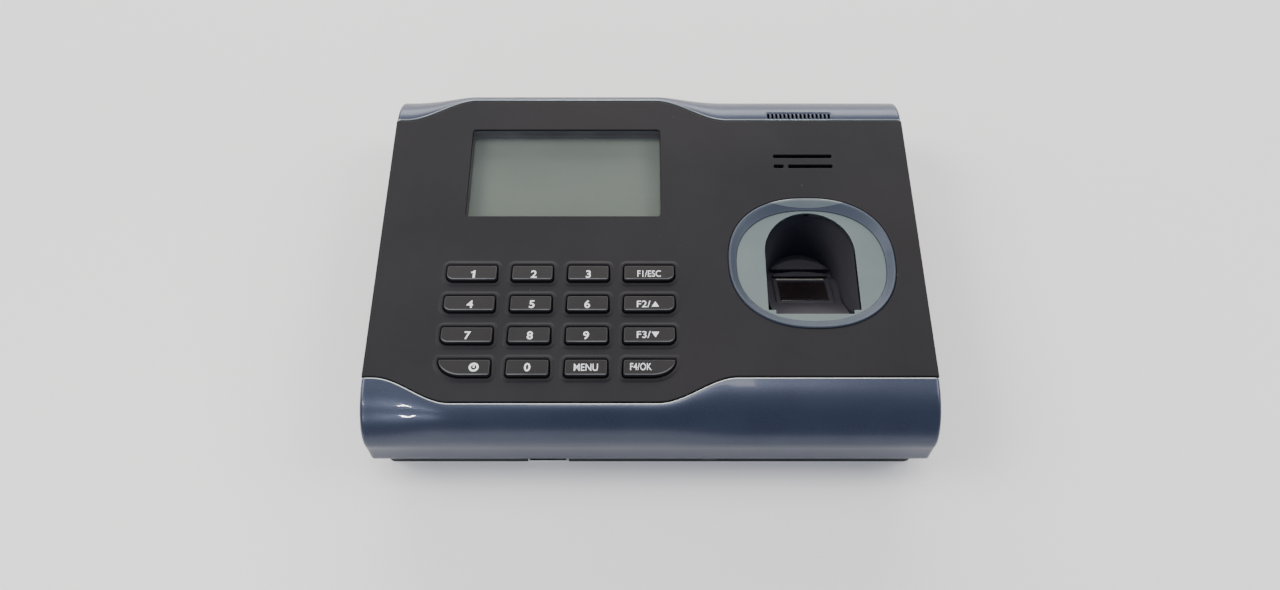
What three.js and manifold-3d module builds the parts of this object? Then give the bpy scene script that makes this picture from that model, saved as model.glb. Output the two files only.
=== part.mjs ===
// A wall-mounted fingerprint terminal, lying on its back: a black front cover between two
// blue-grey trims, a display, a keypad of sixteen keys, a finger well with an optical
// sensor, and a rear housing that hooks on to a steel wall plate.
//
// Millimetres. +X is to the right across the face, +Y to its upper edge, +Z out of the face.
// The origin is at the middle of the rear face.

import * as THREE from "three";
import { mergeVertices } from "three/addons/utils/BufferGeometryUtils.js";
import Module from "manifold-3d";

const wasm = await Module();
wasm.setup();

// ---------------------------------------------------------------- driving dimensions

const body = { width: 181, length: 134, height: 34 };
const wall = 2.2; // walls of the cover and the trims
const gap = 0.3; // between pieces that touch
const fit = 0.15; // half of a visible joint line
const cut = 1; // how far a cutting tool runs past the surface that it cuts

// Distances are from the trim's own edge of the body to the joint line with the cover, at
// the two sides of the face and across the bulge in front of the display and keys.
const lowerTrim = { side: -1, seamAtSides: 19.6, seamAtBulge: 11.1, lean: 0.9, drop: 14 };
const upperTrim = { side: 1, seamAtSides: 15.7, seamAtBulge: 7, lean: 0.8, drop: 14 };
const trimFlange = { reach: 4, root: 2, thick: 1.5 };
// The joint line swings over between these distances from the left and right side faces.
const bulge = { leftFrom: 3.5, leftTo: 28, rightFrom: 63, rightTo: 88 };

const housing = { depth: 12, clear: 0.5, wall: 2, floor: 3.4, corner: 2.3, lip: 1.5 };

// Centres are measured from the left side face and the upper edge.
const display = {
  fromLeft: 61.1, fromTop: 37.75, width: 66.6, height: 35.9, corner: 1.2,
  sunk: 0.4, flange: 1.8, flangeThick: 1.2, gasket: 1.2, glass: 2.2, frame: 3.4, rim: 3.4,
  boardRim: 6,
};
// The first row's centre is measured from the lower edge.
const keys = {
  firstRow: 56.05, pitch: 11.2, height: 5.9, corner: 0.9, between: 5,
  widths: [16.5, 13.4, 13.4, 16.5],
  proud: 1.4, bevel: 0.5, flange: 0.8, flangeThick: 1.2, play: 0.6, travel: 0.9,
  sweep: 7.5,
};
const mat = { rim: 4, thick: 1, domeHigh: 0.8, domeInset: 1.2, domeSide: 3.2 };
const board = { thick: 1.6 };

// The sensor's centre is measured from the right side face and the lower edge.
const ring = {
  fromRight: 36.7, fromBottom: 60.9, halfWidth: 27.7, halfHeight: 24.6, squareness: 2.3,
  proud: 0.4, lip: 0.6, deep: 4, flange: 1.5, flangeThick: 1.5,
  inner: { halfWidth: 24.95, halfHeight: 21.1, lower: 0.7 },
};
const sensorPlate = { sunk: 1.6 };
const led = { radius: 1.5, apart: 10, fromRingEdge: 1.7, board: [24, 3.2, 1.2] };
const lens = { sag: 65, below: 21.2 }; // the crescent's lower arc: its radius and its lowest point
// The arch's top and bottom are measured from the ring's centre.
const arch = { halfWidth: 15.1, top: 19.4, bottom: 18.6, stepWide: 2.4, stepHigh: 1.4 };
const well = {
  wall: 1.5, floor: 8.5, floorHalfWidth: 12, ramp: 1.8, flange: 1.3,
  // The ramp's turning points: along Y from the ring's centre, and height.
  rampFoot: [-7, 16.7], glassFoot: [5, 10.6], floorStart: 6.8,
};
const sensorGlass = { width: 17, length: 11.6, thick: 1.5, sunk: 0.2 };
const sensorModule = { width: 19, length: 12.6, thick: 4 };
const sensorBoard = { width: 26, length: 20, thick: 1.2 };

const speaker = {
  fromTop: 33.35, radius: 12, rim: 1.4, slotLength: 20.5, slotHigh: 1.3, slotPitch: 4.2,
  collarThick: 0.8, collarDeep: 5,
};
const slotBridge = { from: 3.4, wide: 1.6 };
const vents = { count: 16, wide: 0.75, pitch: 1.45, length: 3.2 };

const mainBoard = { left: 14.5, right: 58.5, bottom: 17, top: 11, under: 14.5 };
const boardPost = { radius: 2.5, fromEdge: 6 };
// Chips and the battery: centre from the main board's left and lower edges, then the size.
const processor = { x: 30, y: 30, width: 17, length: 17, high: 1.6 };
const memory = { x: 56, y: 30, width: 12, length: 18, high: 1.1 };
const relay = { x: 88, y: 22, width: 15, length: 19, high: 6 };
const battery = { x: 18, y: 82, radius: 10, high: 3.2 };
const usbBoard = { halfWidth: 10, length: 15.7 };
const ribbon = { thick: 0.4, displayHalfWidth: 12, displayLength: 12, sensorWidth: 8 };
const screw = { radius: 1.45, head: 2.9, headHigh: 1.3, reach: 24, fromSide: 8.5 };
const screwRow = { fromBottom: 27, fromTop: 23 };
const boss = { radius: 3.6, tube: 4, footAboveRim: 2.5 };

const bay = { left: -24, right: 28, bottom: 4, top: 46 }; // cable recess in the rear face
const plate = {
  halfWidth: 50, bottom: -44, top: 52, thick: 1.2, travel: 6,
  window: { left: -22, right: 26, bottom: -4, top: 44 },
  hookX: 36, hookY: [-24, 34], hookHalfWidth: 4, hookReach: 5, corner: 3, hole: 2.2,
  tongueX: 20, tongueHalfWidth: 6, tabY: -54, tabHalfWidth: 5, tabHigh: 9, screwHigh: 5.4,
  screwSunk: 1.1,
};
const usb = { fromLeft: 56.5, halfWidth: 6.55, low: 0.8, high: 6.4, deep: 14, shell: 0.45 };
const jack = { left: -20, right: -4, mouth: 24, back: 45, high: 12.4, port: [11.8, 7.6, 12.5] };
const powerJack = { left: 3, right: 13, mouth: 28, back: 43, high: 11, bore: 3.2, boreDeep: 10 };
const terminals = { left: 15.5, right: 27.5, mouth: 29, back: 39, high: 10, count: 4, port: 2.2 };
const plunger = { fromLeft: 28.5, y: 10, radius: 2, collar: 3.2, collarHigh: 1.2, top: 9.7, travel: 1.2 };
const tamperSwitch = { half: 3.5, high: 3 };

// ---------------------------------------------------------------- places worked out from them

const left = -body.width / 2;
const right = body.width / 2;
const lower = -body.length / 2;
const upper = body.length / 2;
const coverUnder = body.height - wall;

const displayX = left + display.fromLeft;
const displayY = upper - display.fromTop;
const sensorX = right - ring.fromRight;
const sensorY = lower + ring.fromBottom;
const speakerY = upper - speaker.fromTop;

const keyFoot = coverUnder - keys.play - keys.flangeThick;
const domeTop = keyFoot - keys.travel - gap;
const matTop = domeTop - mat.domeHigh;
const matUnder = matTop - mat.thick;
const keyBoardTop = matUnder - gap;

const windowTop = body.height - display.sunk;
const windowFlangeTop = coverUnder - gap;
const windowUnder = windowFlangeTop - display.flangeThick;
const gasketUnder = windowUnder - gap - display.gasket;
const panelTop = gasketUnder - gap;
const panelUnder = panelTop - display.glass;
const frameUnder = panelUnder - gap - display.frame;
const displayBoardTop = frameUnder - gap;

const ringUnder = body.height - ring.deep;
const lensUnder = ringUnder + ring.flangeThick + gap;
const ledBoardTop = ringUnder - 3;
const ledY = sensorY + ring.halfHeight - led.fromRingEdge;
const wellFlangeTop = ringUnder - gap;
const plateTop = body.height - sensorPlate.sunk;

const floorUnderPlate = plate.thick + gap; // rear face of the floor, over the wall plate
const boardTop = mainBoard.under + board.thick;
const usbX = left + usb.fromLeft;
const plungerX = left + plunger.fromLeft;

// ---------------------------------------------------------------- solids from three.js geometry

// A three.js geometry as a solid that manifold-3d can cut and join.
function solid(geometry) {
  const bare = geometry.index ? geometry.toNonIndexed() : geometry.clone();
  for (const name of Object.keys(bare.attributes)) {
    if (name !== "position") bare.deleteAttribute(name);
  }
  const merged = mergeVertices(bare, 1e-4);
  return new wasm.Manifold(
    new wasm.Mesh({
      numProp: 3,
      vertProperties: merged.attributes.position.array,
      triVerts: new Uint32Array(merged.index.array),
    }),
  );
}

// A solid's surface as a three.js geometry.
function geometryOf(shape) {
  const mesh = shape.getMesh();
  const geometry = new THREE.BufferGeometry();
  geometry.setAttribute("position", new THREE.BufferAttribute(mesh.vertProperties, mesh.numProp));
  geometry.setIndex(new THREE.BufferAttribute(mesh.triVerts, 1));
  geometry.computeVertexNormals();
  return geometry;
}

function box(x0, x1, y0, y1, z0, z1) {
  const geometry = new THREE.BoxGeometry(x1 - x0, y1 - y0, z1 - z0);
  return solid(geometry.translate((x0 + x1) / 2, (y0 + y1) / 2, (z0 + z1) / 2));
}

// A round bar along Z.
function rod(x, y, z0, z1, radius, sides = 16) {
  const geometry = new THREE.CylinderGeometry(radius, radius, z1 - z0, sides);
  return solid(geometry.rotateX(Math.PI / 2).translate(x, y, (z0 + z1) / 2));
}

// A round bar along Y.
function rodAlongY(x, z, y0, y1, radius, sides = 16) {
  const geometry = new THREE.CylinderGeometry(radius, radius, y1 - y0, sides);
  return solid(geometry.translate(x, (y0 + y1) / 2, z));
}

// A flat outline in X and Y, raised from z0 to z1.
function prism(shape, z0, z1, curveSegments = 2) {
  const geometry = new THREE.ExtrudeGeometry(shape, {
    depth: z1 - z0,
    bevelEnabled: false,
    curveSegments,
  });
  return solid(geometry.translate(0, 0, z0));
}

// An outline given as [y, z] points, drawn out along X from x0 to x1.
function prismAlongX(points, x0, x1) {
  const shape = new THREE.Shape(points.map(([y, z]) => new THREE.Vector2(y, z)));
  const geometry = new THREE.ExtrudeGeometry(shape, { depth: x1 - x0, bevelEnabled: false });
  // The outline's own axes X, Y, Z become Y, Z, X.
  const turn = new THREE.Matrix4().makeBasis(
    new THREE.Vector3(0, 1, 0),
    new THREE.Vector3(0, 0, 1),
    new THREE.Vector3(1, 0, 0),
  );
  return solid(geometry.applyMatrix4(turn).translate(x0, 0, 0));
}

// An outline given as [x, z] points, drawn out along Y from y0 to y1.
function prismAlongY(points, y0, y1) {
  const shape = new THREE.Shape(points.map(([x, z]) => new THREE.Vector2(x, z)));
  const geometry = new THREE.ExtrudeGeometry(shape, { depth: y1 - y0, bevelEnabled: false });
  return solid(geometry.rotateX(Math.PI / 2).translate(0, y1, 0));
}

// A solid through rings of points that match one to one. The end rings are flat, and are
// closed by triangulating them in the plane of the two named axes.
function loft(rings, u, v) {
  const count = rings[0].length;
  const index = [];
  for (let start = 0; start < (rings.length - 1) * count; start += count) {
    for (let i = 0; i < count; i++) {
      const [a, b] = [start + i, start + ((i + 1) % count)];
      index.push(a, b, a + count, b, b + count, a + count);
    }
  }
  const addCap = (ring, start, againstRing) => {
    const flat = ring.map((p) => new THREE.Vector2(p[u], p[v]));
    const triangles = THREE.ShapeUtils.triangulateShape(flat, []);
    const area = (corners) => THREE.ShapeUtils.area(corners);
    const withRing = area(triangles[0].map((i) => flat[i])) * area(flat) > 0;
    for (const [a, b, c] of triangles) {
      const turned = withRing === againstRing ? [a, c, b] : [a, b, c];
      index.push(...turned.map((i) => start + i));
    }
  };
  addCap(rings[0], 0, true);
  addCap(rings[rings.length - 1], (rings.length - 1) * count, false);
  const geometry = new THREE.BufferGeometry().setFromPoints(rings.flat());
  geometry.setIndex(index);
  return outward(geometry);
}

// The solid of a closed surface, with its faces turned outwards if they point inwards.
function outward(geometry) {
  const position = geometry.attributes.position;
  const corner = [0, 1, 2].map(() => new THREE.Vector3());
  let volume = 0;
  for (let i = 0; i < geometry.index.count; i += 3) {
    corner.forEach((p, k) => p.fromBufferAttribute(position, geometry.index.getX(i + k)));
    volume += corner[0].dot(corner[1].clone().cross(corner[2]));
  }
  if (volume < 0) geometry.setIndex(Array.from(geometry.index.array).reverse());
  return solid(geometry);
}

function join(first, ...others) {
  return others.reduce((whole, next) => whole.add(next), first);
}

function cutAway(first, ...tools) {
  return tools.reduce((whole, tool) => whole.subtract(tool), first);
}

// ---------------------------------------------------------------- outlines

function roundedRect(x, y, width, height, radius) {
  const shape = new THREE.Shape();
  const [w, h] = [width / 2 - radius, height / 2 - radius];
  shape.absarc(x + w, y + h, radius, 0, Math.PI / 2);
  shape.absarc(x - w, y + h, radius, Math.PI / 2, Math.PI);
  shape.absarc(x - w, y - h, radius, Math.PI, 1.5 * Math.PI);
  shape.absarc(x + w, y - h, radius, 1.5 * Math.PI, 2 * Math.PI);
  return shape;
}

// An oval whose ends are squarer than an ellipse's: |x/a|^n + |y/b|^n = 1.
function oval(x, y, halfWidth, halfHeight) {
  const steps = 48;
  const bent = (value) => Math.sign(value) * Math.abs(value) ** (2 / ring.squareness);
  const points = Array.from({ length: steps }, (_, i) => {
    const angle = (i / steps) * 2 * Math.PI;
    return new THREE.Vector2(
      x + halfWidth * bent(Math.cos(angle)), y + halfHeight * bent(Math.sin(angle)),
    );
  });
  return new THREE.Shape(points);
}

// Points of a flat outline at height z.
function ringAt(shape, z, curveSegments = 2) {
  const points = shape.getPoints(curveSegments);
  const last = points[points.length - 1];
  if (last.distanceTo(points[0]) < 1e-6) points.pop();
  return points
    .filter((p, i) => i === 0 || p.distanceTo(points[i - 1]) > 1e-6)
    .map((p) => new THREE.Vector3(p.x, p.y, z));
}

// How far the bulge has swung in at x: 0 at the sides of the face, 1 across the bulge.
function bulgeShare(x) {
  const { smoothstep } = THREE.MathUtils;
  const rise = smoothstep(x, left + bulge.leftFrom, left + bulge.leftTo);
  const fall = smoothstep(x, right - bulge.rightTo, right - bulge.rightFrom);
  return rise - fall;
}

// The joint line between the cover and a trim at x, moved out towards the trim by shift.
function seamY(trim, x, shift = 0) {
  const inset = THREE.MathUtils.lerp(trim.seamAtSides, trim.seamAtBulge, bulgeShare(x));
  return trim.side * (body.length / 2 - inset + shift);
}

// Places along X where the joint line is followed, dense on its two swings.
function seamStations(from, to) {
  const swings = [
    [left + bulge.leftFrom, left + bulge.leftTo],
    [right - bulge.rightTo, right - bulge.rightFrom],
  ];
  const steps = 8;
  const places = swings.flatMap(([a, b]) =>
    Array.from({ length: steps + 1 }, (_, i) => THREE.MathUtils.lerp(a, b, i / steps)),
  );
  return [from, ...places.filter((x) => x > from && x < to), to];
}

// The strip beside a joint line, between two shifts of it, over a stretch of X.
function seamStrip(trim, from, to, nearShift, farShift) {
  const stations = seamStations(from, to);
  const near = stations.map((x) => new THREE.Vector2(x, seamY(trim, x, nearShift)));
  const far = stations.map((x) => new THREE.Vector2(x, seamY(trim, x, farShift)));
  return new THREE.Shape([...near, ...far.reverse()]);
}

// ---------------------------------------------------------------- cover and trims

// The well's opening: a round top, straight sides and a small step at each lower corner.
function archOutline(grow, halfWidth = arch.halfWidth, top = arch.top) {
  const w = halfWidth + grow;
  const low = sensorY - arch.bottom - grow;
  const shape = new THREE.Shape();
  shape.moveTo(sensorX - w, low + arch.stepHigh);
  shape.lineTo(sensorX - w + arch.stepWide, low + arch.stepHigh);
  shape.lineTo(sensorX - w + arch.stepWide, low);
  shape.lineTo(sensorX + w - arch.stepWide, low);
  shape.lineTo(sensorX + w - arch.stepWide, low + arch.stepHigh);
  shape.lineTo(sensorX + w, low + arch.stepHigh);
  shape.absarc(sensorX, sensorY + top - halfWidth, w, 0, Math.PI);
  return shape;
}

const screwPlaces = [
  [left + screw.fromSide, lower + screwRow.fromBottom],
  [right - screw.fromSide, lower + screwRow.fromBottom],
  [left + screw.fromSide, upper - screwRow.fromTop],
  [right - screw.fromSide, upper - screwRow.fromTop],
];
const bossFoot = housing.depth + housing.lip + boss.footAboveRim;

function frontCover() {
  const stations = seamStations(left, right);
  const outline = new THREE.Shape([
    ...stations.map((x) => new THREE.Vector2(x, seamY(lowerTrim, x, -fit))),
    ...stations.reverse().map((x) => new THREE.Vector2(x, seamY(upperTrim, x, -fit))),
  ]);
  const face = prism(outline, coverUnder, body.height);
  const [front, back] = [seamY(lowerTrim, left, -fit), seamY(upperTrim, left, -fit)];
  const sides = [left, right - wall].map((x) =>
    box(x, x + wall, front, back, housing.depth, body.height - wall / 2),
  );
  const bosses = screwPlaces.map(([x, y]) => rod(x, y, bossFoot, coverUnder + wall / 2, boss.radius));
  const collarInside = speaker.radius + gap;
  const collar = [collarInside + speaker.collarThick, collarInside].map((radius, inner) =>
    rod(sensorX, speakerY, coverUnder - speaker.collarDeep - inner, coverUnder + (inner ? 0 : 1), radius, 32),
  );
  const pilots = screwPlaces.map(([x, y]) =>
    rod(x, y, bossFoot - cut, screw.reach + 1.5, screw.radius + gap),
  );
  const through = (shape, steps) => prism(shape, coverUnder - cut, body.height + cut, steps);
  const window = through(
    roundedRect(displayX, displayY, display.width, display.height, display.corner),
  );
  const ringHole = through(
    oval(sensorX, sensorY, ring.halfWidth + fit, ring.halfHeight + fit),
  );
  const keyHoles = keyTable.map((key) => through(keyOutline(key, gap)));
  return cutAway(
    join(face, ...sides, ...bosses, collar[0].subtract(collar[1])),
    window,
    ringHole,
    ...keyHoles,
    ...speakerSlots(),
    ...pilots,
  );
}

// Two slots over the speaker; the lower one has a bridge near its left end.
function speakerSlots() {
  const x0 = sensorX - speaker.slotLength / 2;
  const x1 = x0 + speaker.slotLength;
  const slot = (from, to, y) =>
    box(from, to, y - speaker.slotHigh / 2, y + speaker.slotHigh / 2, coverUnder - cut, body.height + cut);
  const high = speakerY + speaker.slotPitch / 2;
  const low = speakerY - speaker.slotPitch / 2;
  return [
    slot(x0, x1, high),
    slot(x0, x0 + slotBridge.from, low),
    slot(x0 + slotBridge.from + slotBridge.wide, x1, low),
  ];
}

// A trim's outline at x in Y and Z: an ellipse from the joint line down to the skirt, then
// the skirt, which leans out to the body's edge. Inset moves it in by a wall's thickness.
function trimProfile(trim, x, inset) {
  const steps = 9;
  const seam = seamY(trim, x, fit);
  const reach = Math.abs(trim.side * (body.length / 2 - trim.lean) - seam) - inset;
  const drop = trim.drop - inset;
  const middle = body.height - trim.drop;
  const points = [];
  for (let i = 0; i <= steps; i++) {
    const angle = (i / steps) * (Math.PI / 2);
    const y = seam + trim.side * reach * Math.sin(angle);
    points.push(new THREE.Vector3(x, y, middle + drop * Math.cos(angle)));
  }
  return points;
}

function trimSolid(trim, inset) {
  const end = inset;
  const bottom = inset > 0 ? housing.depth - cut : housing.depth;
  const inner = inset > 0 ? cut : 0;
  const rings = seamStations(left + end, right - end).map((x) => {
    const curve = trimProfile(trim, x, inset);
    const back = seamY(trim, x, fit - inner);
    return [
      new THREE.Vector3(x, back, curve[0].z),
      ...(inner > 0 ? curve : curve.slice(1)),
      new THREE.Vector3(x, trim.side * (body.length / 2 - inset), bottom),
      new THREE.Vector3(x, back, bottom),
    ];
  });
  return loft(rings, "y", "z");
}

// A trim: a shell with end walls, and a flange that reaches under the cover's edge.
function trimShell(trim) {
  const shell = trimSolid(trim, 0).subtract(trimSolid(trim, wall));
  const flangeTop = coverUnder - gap;
  const flangeUnder = flangeTop - trimFlange.thick;
  const [from, to] = [left + wall - 0.5, right - wall + 0.5];
  const inside = [left + wall + gap, right - wall - gap];
  const riser = prism(
    seamStrip(trim, from, to, fit, fit + trimFlange.root), flangeUnder, coverUnder + wall / 2,
  );
  const flange = prism(
    seamStrip(trim, ...inside, -trimFlange.reach, fit + trimFlange.root), flangeUnder, flangeTop,
  );
  // The screw bosses come down through the flange where they are near it.
  const bossCuts = screwPlaces.map(([x, y]) =>
    rod(x, y, flangeUnder - cut, flangeTop + cut, boss.radius + gap),
  );
  return cutAway(join(shell, riser, flange), ...bossCuts);
}

// A comb of short slots in the upper trim, beside the joint line and over the speaker.
function ventSlots() {
  const edge = seamY(upperTrim, sensorX, fit);
  const first = sensorX - ((vents.count - 1) * vents.pitch) / 2;
  return Array.from({ length: vents.count }, (_, i) => {
    const x = first + i * vents.pitch;
    const from = edge + gap;
    return box(
      x - vents.wide / 2, x + vents.wide / 2, from, from + vents.length,
      coverUnder - trimFlange.thick - gap - cut, body.height + cut,
    );
  });
}

// ---------------------------------------------------------------- keys

// Row by row from the top: each key's name, and which lower corner is swept away, if one is.
const keyNames = [
  ["key_1", "key_2", "key_3", "key_f1_esc"],
  ["key_4", "key_5", "key_6", "key_f2_up"],
  ["key_7", "key_8", "key_9", "key_f3_down"],
  ["key_power", "key_0", "key_menu", "key_f4_ok"],
];
const swept = { key_power: -1, key_f4_ok: 1 };

const keypadWidth = keys.widths.reduce((sum, w) => sum + w, 0) + 3 * keys.between;
const keyTable = keyNames.flatMap((row, r) =>
  row.map((name, c) => {
    const before = keys.widths.slice(0, c).reduce((sum, w) => sum + w + keys.between, 0);
    return {
      name,
      x: displayX - keypadWidth / 2 + before + keys.widths[c] / 2,
      y: lower + keys.firstRow - r * keys.pitch,
      width: keys.widths[c],
      sweep: swept[name] ?? 0,
    };
  }),
);

// A key's outline grown by an amount: a rounded bar, or one with a swept lower corner.
function keyOutline(key, grow) {
  const w = key.width / 2 + grow;
  const h = keys.height / 2 + grow;
  const radius = Math.max(keys.corner + grow, 0.2);
  if (!key.sweep) return roundedRect(key.x, key.y, 2 * w, 2 * h, radius);
  const shape = new THREE.Shape();
  const steps = 6;
  const tip = 0.4 + Math.max(grow, 0); // the pointed end's blunt height
  const side = key.sweep;
  const points = [[-w, -h], [-w, h], [w, h], [w, h - tip]];
  const startX = w - keys.sweep - Math.max(grow, 0) / 2;
  for (let i = steps - 1; i >= 0; i--) {
    const angle = (i / steps) * (Math.PI / 2);
    const x = startX + (w - startX) * Math.sin(angle);
    points.push([x, h - tip - (2 * h - tip) * Math.cos(angle)]);
  }
  const placed = points.map(([x, y]) => new THREE.Vector2(key.x + side * x, key.y + y));
  shape.setFromPoints(side > 0 ? placed.reverse() : placed);
  return shape;
}

function keyCap(key) {
  const flangeTop = coverUnder - keys.play;
  const top = body.height + keys.proud;
  return loft(
    [
      ringAt(keyOutline(key, keys.flange), keyFoot),
      ringAt(keyOutline(key, keys.flange), flangeTop),
      ringAt(keyOutline(key, 0), flangeTop),
      ringAt(keyOutline(key, 0), top - keys.bevel),
      ringAt(keyOutline(key, -keys.bevel), top),
    ],
    "x",
    "y",
  );
}

const keypadBox = {
  x0: displayX - keypadWidth / 2 - mat.rim,
  x1: displayX + keypadWidth / 2 + mat.rim,
  y0: lower + keys.firstRow - 3 * keys.pitch - keys.height / 2 - mat.rim / 2,
  y1: lower + keys.firstRow + keys.height / 2 + mat.rim,
};

function keypadMat() {
  const { x0, x1, y0, y1 } = keypadBox;
  const domes = keyTable.map((key) => {
    const w = Math.min(...keys.widths) / 2 - mat.domeSide;
    const h = keys.height / 2 - mat.domeInset;
    return box(key.x - w, key.x + w, key.y - h, key.y + h, matTop - mat.thick / 2, domeTop);
  });
  return join(box(x0, x1, y0, y1, matUnder, matTop), ...domes);
}

// ---------------------------------------------------------------- display

function displayRect(grow, z0, z1) {
  const shape = roundedRect(
    displayX, displayY,
    display.width + 2 * grow, display.height + 2 * grow, display.corner,
  );
  return prism(shape, z0, z1);
}

const displayParts = {
  display_window: () =>
    displayRect(-gap, windowUnder, windowTop).add(
      displayRect(display.flange, windowUnder, windowFlangeTop),
    ),
  display_gasket: () =>
    displayRect(display.flange, gasketUnder, windowUnder - gap).subtract(
      displayRect(0, gasketUnder - cut, windowUnder + cut),
    ),
  display_panel: () => displayRect(display.rim, panelUnder, panelTop),
  display_frame: () => displayRect(display.rim, frameUnder, panelUnder - gap),
  display_board: () => displayRect(display.boardRim, displayBoardTop - board.thick, displayBoardTop),
};

// ---------------------------------------------------------------- sensor

const ringOutside = (grow) =>
  oval(sensorX, sensorY, ring.halfWidth + grow, ring.halfHeight + grow);
const ringInside = (grow) =>
  oval(
    sensorX, sensorY - ring.inner.lower,
    ring.inner.halfWidth + grow, ring.inner.halfHeight + grow,
  );

// The whole bezel ring, before the lens is cut out of it: a proud lip, then a band that
// slopes down and in to the sensor plate, and a flange that holds it under the cover.
function ringBlank() {
  const top = body.height + ring.proud;
  const flangeTop = Math.min(ringUnder + ring.flangeThick, coverUnder - gap);
  const dish = loft(
    [
      ringAt(ringInside(0), ringUnder - cut),
      ringAt(ringInside(0), plateTop),
      ringAt(ringOutside(-ring.lip), top),
      ringAt(ringOutside(-ring.lip), top + cut),
    ],
    "x",
    "y",
  );
  return prism(ringOutside(0), ringUnder, top)
    .add(prism(ringOutside(ring.flange), ringUnder, flangeTop))
    .subtract(dish);
}

// The crescent that the status lens takes out of the ring's upper edge.
function lensTool(grow) {
  const radius = lens.sag + grow;
  const circle = new THREE.Shape().absarc(
    sensorX, sensorY + lens.below + lens.sag, radius, 0, 2 * Math.PI,
  );
  const z1 = body.height + ring.proud + cut;
  return prism(circle, lensUnder, z1, 60).intersect(prism(ringOutside(grow), lensUnder, z1));
}

const lampAt = (x, radius, z0, z1) => rod(x, ledY, z0, z1, radius, 12);
const lightHoles = [-1, 1].map((side) =>
  lampAt(sensorX + (side * led.apart) / 2, led.radius + gap, ringUnder - cut, lensUnder + cut),
);

function sensorPlateSolid() {
  return prism(ringInside(-fit), ringUnder, plateTop).subtract(
    prism(archOutline(0), ringUnder - cut, plateTop + cut, 10),
  );
}

// The ramp that a finger slides down, as [y, z] points from the lip to the back of the well.
const rampPoints = [
  [sensorY - arch.bottom, ringUnder],
  [sensorY + well.rampFoot[0], well.rampFoot[1]],
  [sensorY + well.glassFoot[0], well.glassFoot[1]],
  [sensorY + well.floorStart, well.floor],
];
const glassSlope = Math.atan2(
  rampPoints[1][1] - rampPoints[2][1],
  rampPoints[2][0] - rampPoints[1][0],
);
const glassMiddle = [
  (rampPoints[1][0] + rampPoints[2][0]) / 2,
  (rampPoints[1][1] + rampPoints[2][1]) / 2,
];

// A block that lies parallel to the glass, from top to bottom below the ramp's surface.
function tiltedBlock(width, length, top, bottom) {
  const geometry = new THREE.BoxGeometry(width, length, bottom - top);
  geometry.translate(0, 0, -(top + bottom) / 2).rotateX(-glassSlope);
  return solid(geometry.translate(sensorX, ...glassMiddle));
}

function archLoft(grow, z0, z1) {
  const tall = ringUnder - well.floor;
  const steps = 8;
  const at = (z) => {
    const share = THREE.MathUtils.clamp((z - well.floor) / tall, 0, 1);
    const halfWidth = THREE.MathUtils.lerp(well.floorHalfWidth, arch.halfWidth, share);
    const top = arch.top - (arch.halfWidth - halfWidth);
    return ringAt(archOutline(grow, halfWidth, top), z, steps);
  };
  const heights = [z0, ...[well.floor, ringUnder].filter((z) => z > z0 && z < z1), z1];
  return loft(heights.map(at), "x", "y");
}

function fingerWell() {
  const under = well.floor - well.wall;
  const flange = prism(ringInside(-fit), wellFlangeTop - well.flange, wellFlangeTop);
  const hull = archLoft(well.wall, under, wellFlangeTop);
  const high = body.height + cut;
  const back = sensorY + arch.top + cut;
  const above = prismAlongX(
    [[rampPoints[0][0], high], ...rampPoints, [back, well.floor], [back, high]],
    sensorX - arch.halfWidth - cut, sensorX + arch.halfWidth + cut,
  );
  const finger = archLoft(0, well.floor - gap, high).intersect(above);
  // The space under the ramp, open below, where the sensor module sits.
  const [sin, cos] = [Math.sin(glassSlope), Math.cos(glassSlope)];
  const low = rampPoints.slice(1, 3).map(([y, z]) => [y - well.ramp * sin, z - well.ramp * cos]);
  const lip = rampPoints[0][0] + gap;
  const slope = (rampPoints[0][1] - rampPoints[1][1]) / (rampPoints[1][0] - rampPoints[0][0]);
  const lipHigh = rampPoints[0][1] - well.ramp * Math.hypot(1, slope) - gap * slope;
  const below = prismAlongX(
    [[lip, under - cut], [lip, lipHigh], ...low, [low[1][0], under - cut]],
    sensorX - arch.halfWidth - cut, sensorX + arch.halfWidth + cut,
  );
  const hollow = archLoft(0, under - cut, ringUnder - gap).intersect(below);
  const opening = tiltedBlock(
    sensorGlass.width + 2 * gap, sensorGlass.length + 2 * gap, -cut, well.ramp + cut,
  );
  return cutAway(join(hull, flange), finger, hollow, opening);
}

const moduleTop = well.ramp + gap;
const sensorBoardY = glassMiddle[0] - 2;

// ---------------------------------------------------------------- speaker

// A solid of revolution about the speaker's axis, from [radius, z] points.
function speakerLathe(points) {
  const profile = points.map(([r, z]) => new THREE.Vector2(r, z));
  const geometry = new THREE.LatheGeometry(profile, 24).rotateX(Math.PI / 2);
  return outward(mergedCopy(geometry.translate(sensorX, speakerY, 0)));
}

// A copy with shared corners, so that a surface of revolution closes on itself.
function mergedCopy(geometry) {
  const bare = geometry.toNonIndexed();
  bare.deleteAttribute("normal");
  bare.deleteAttribute("uv");
  const merged = mergeVertices(bare, 1e-4);
  const kept = [];
  for (let i = 0; i < merged.index.count; i += 3) {
    const [a, b, c] = [0, 1, 2].map((k) => merged.index.getX(i + k));
    if (a !== b && b !== c && c !== a) kept.push(a, b, c);
  }
  merged.setIndex(kept);
  return merged;
}

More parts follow.
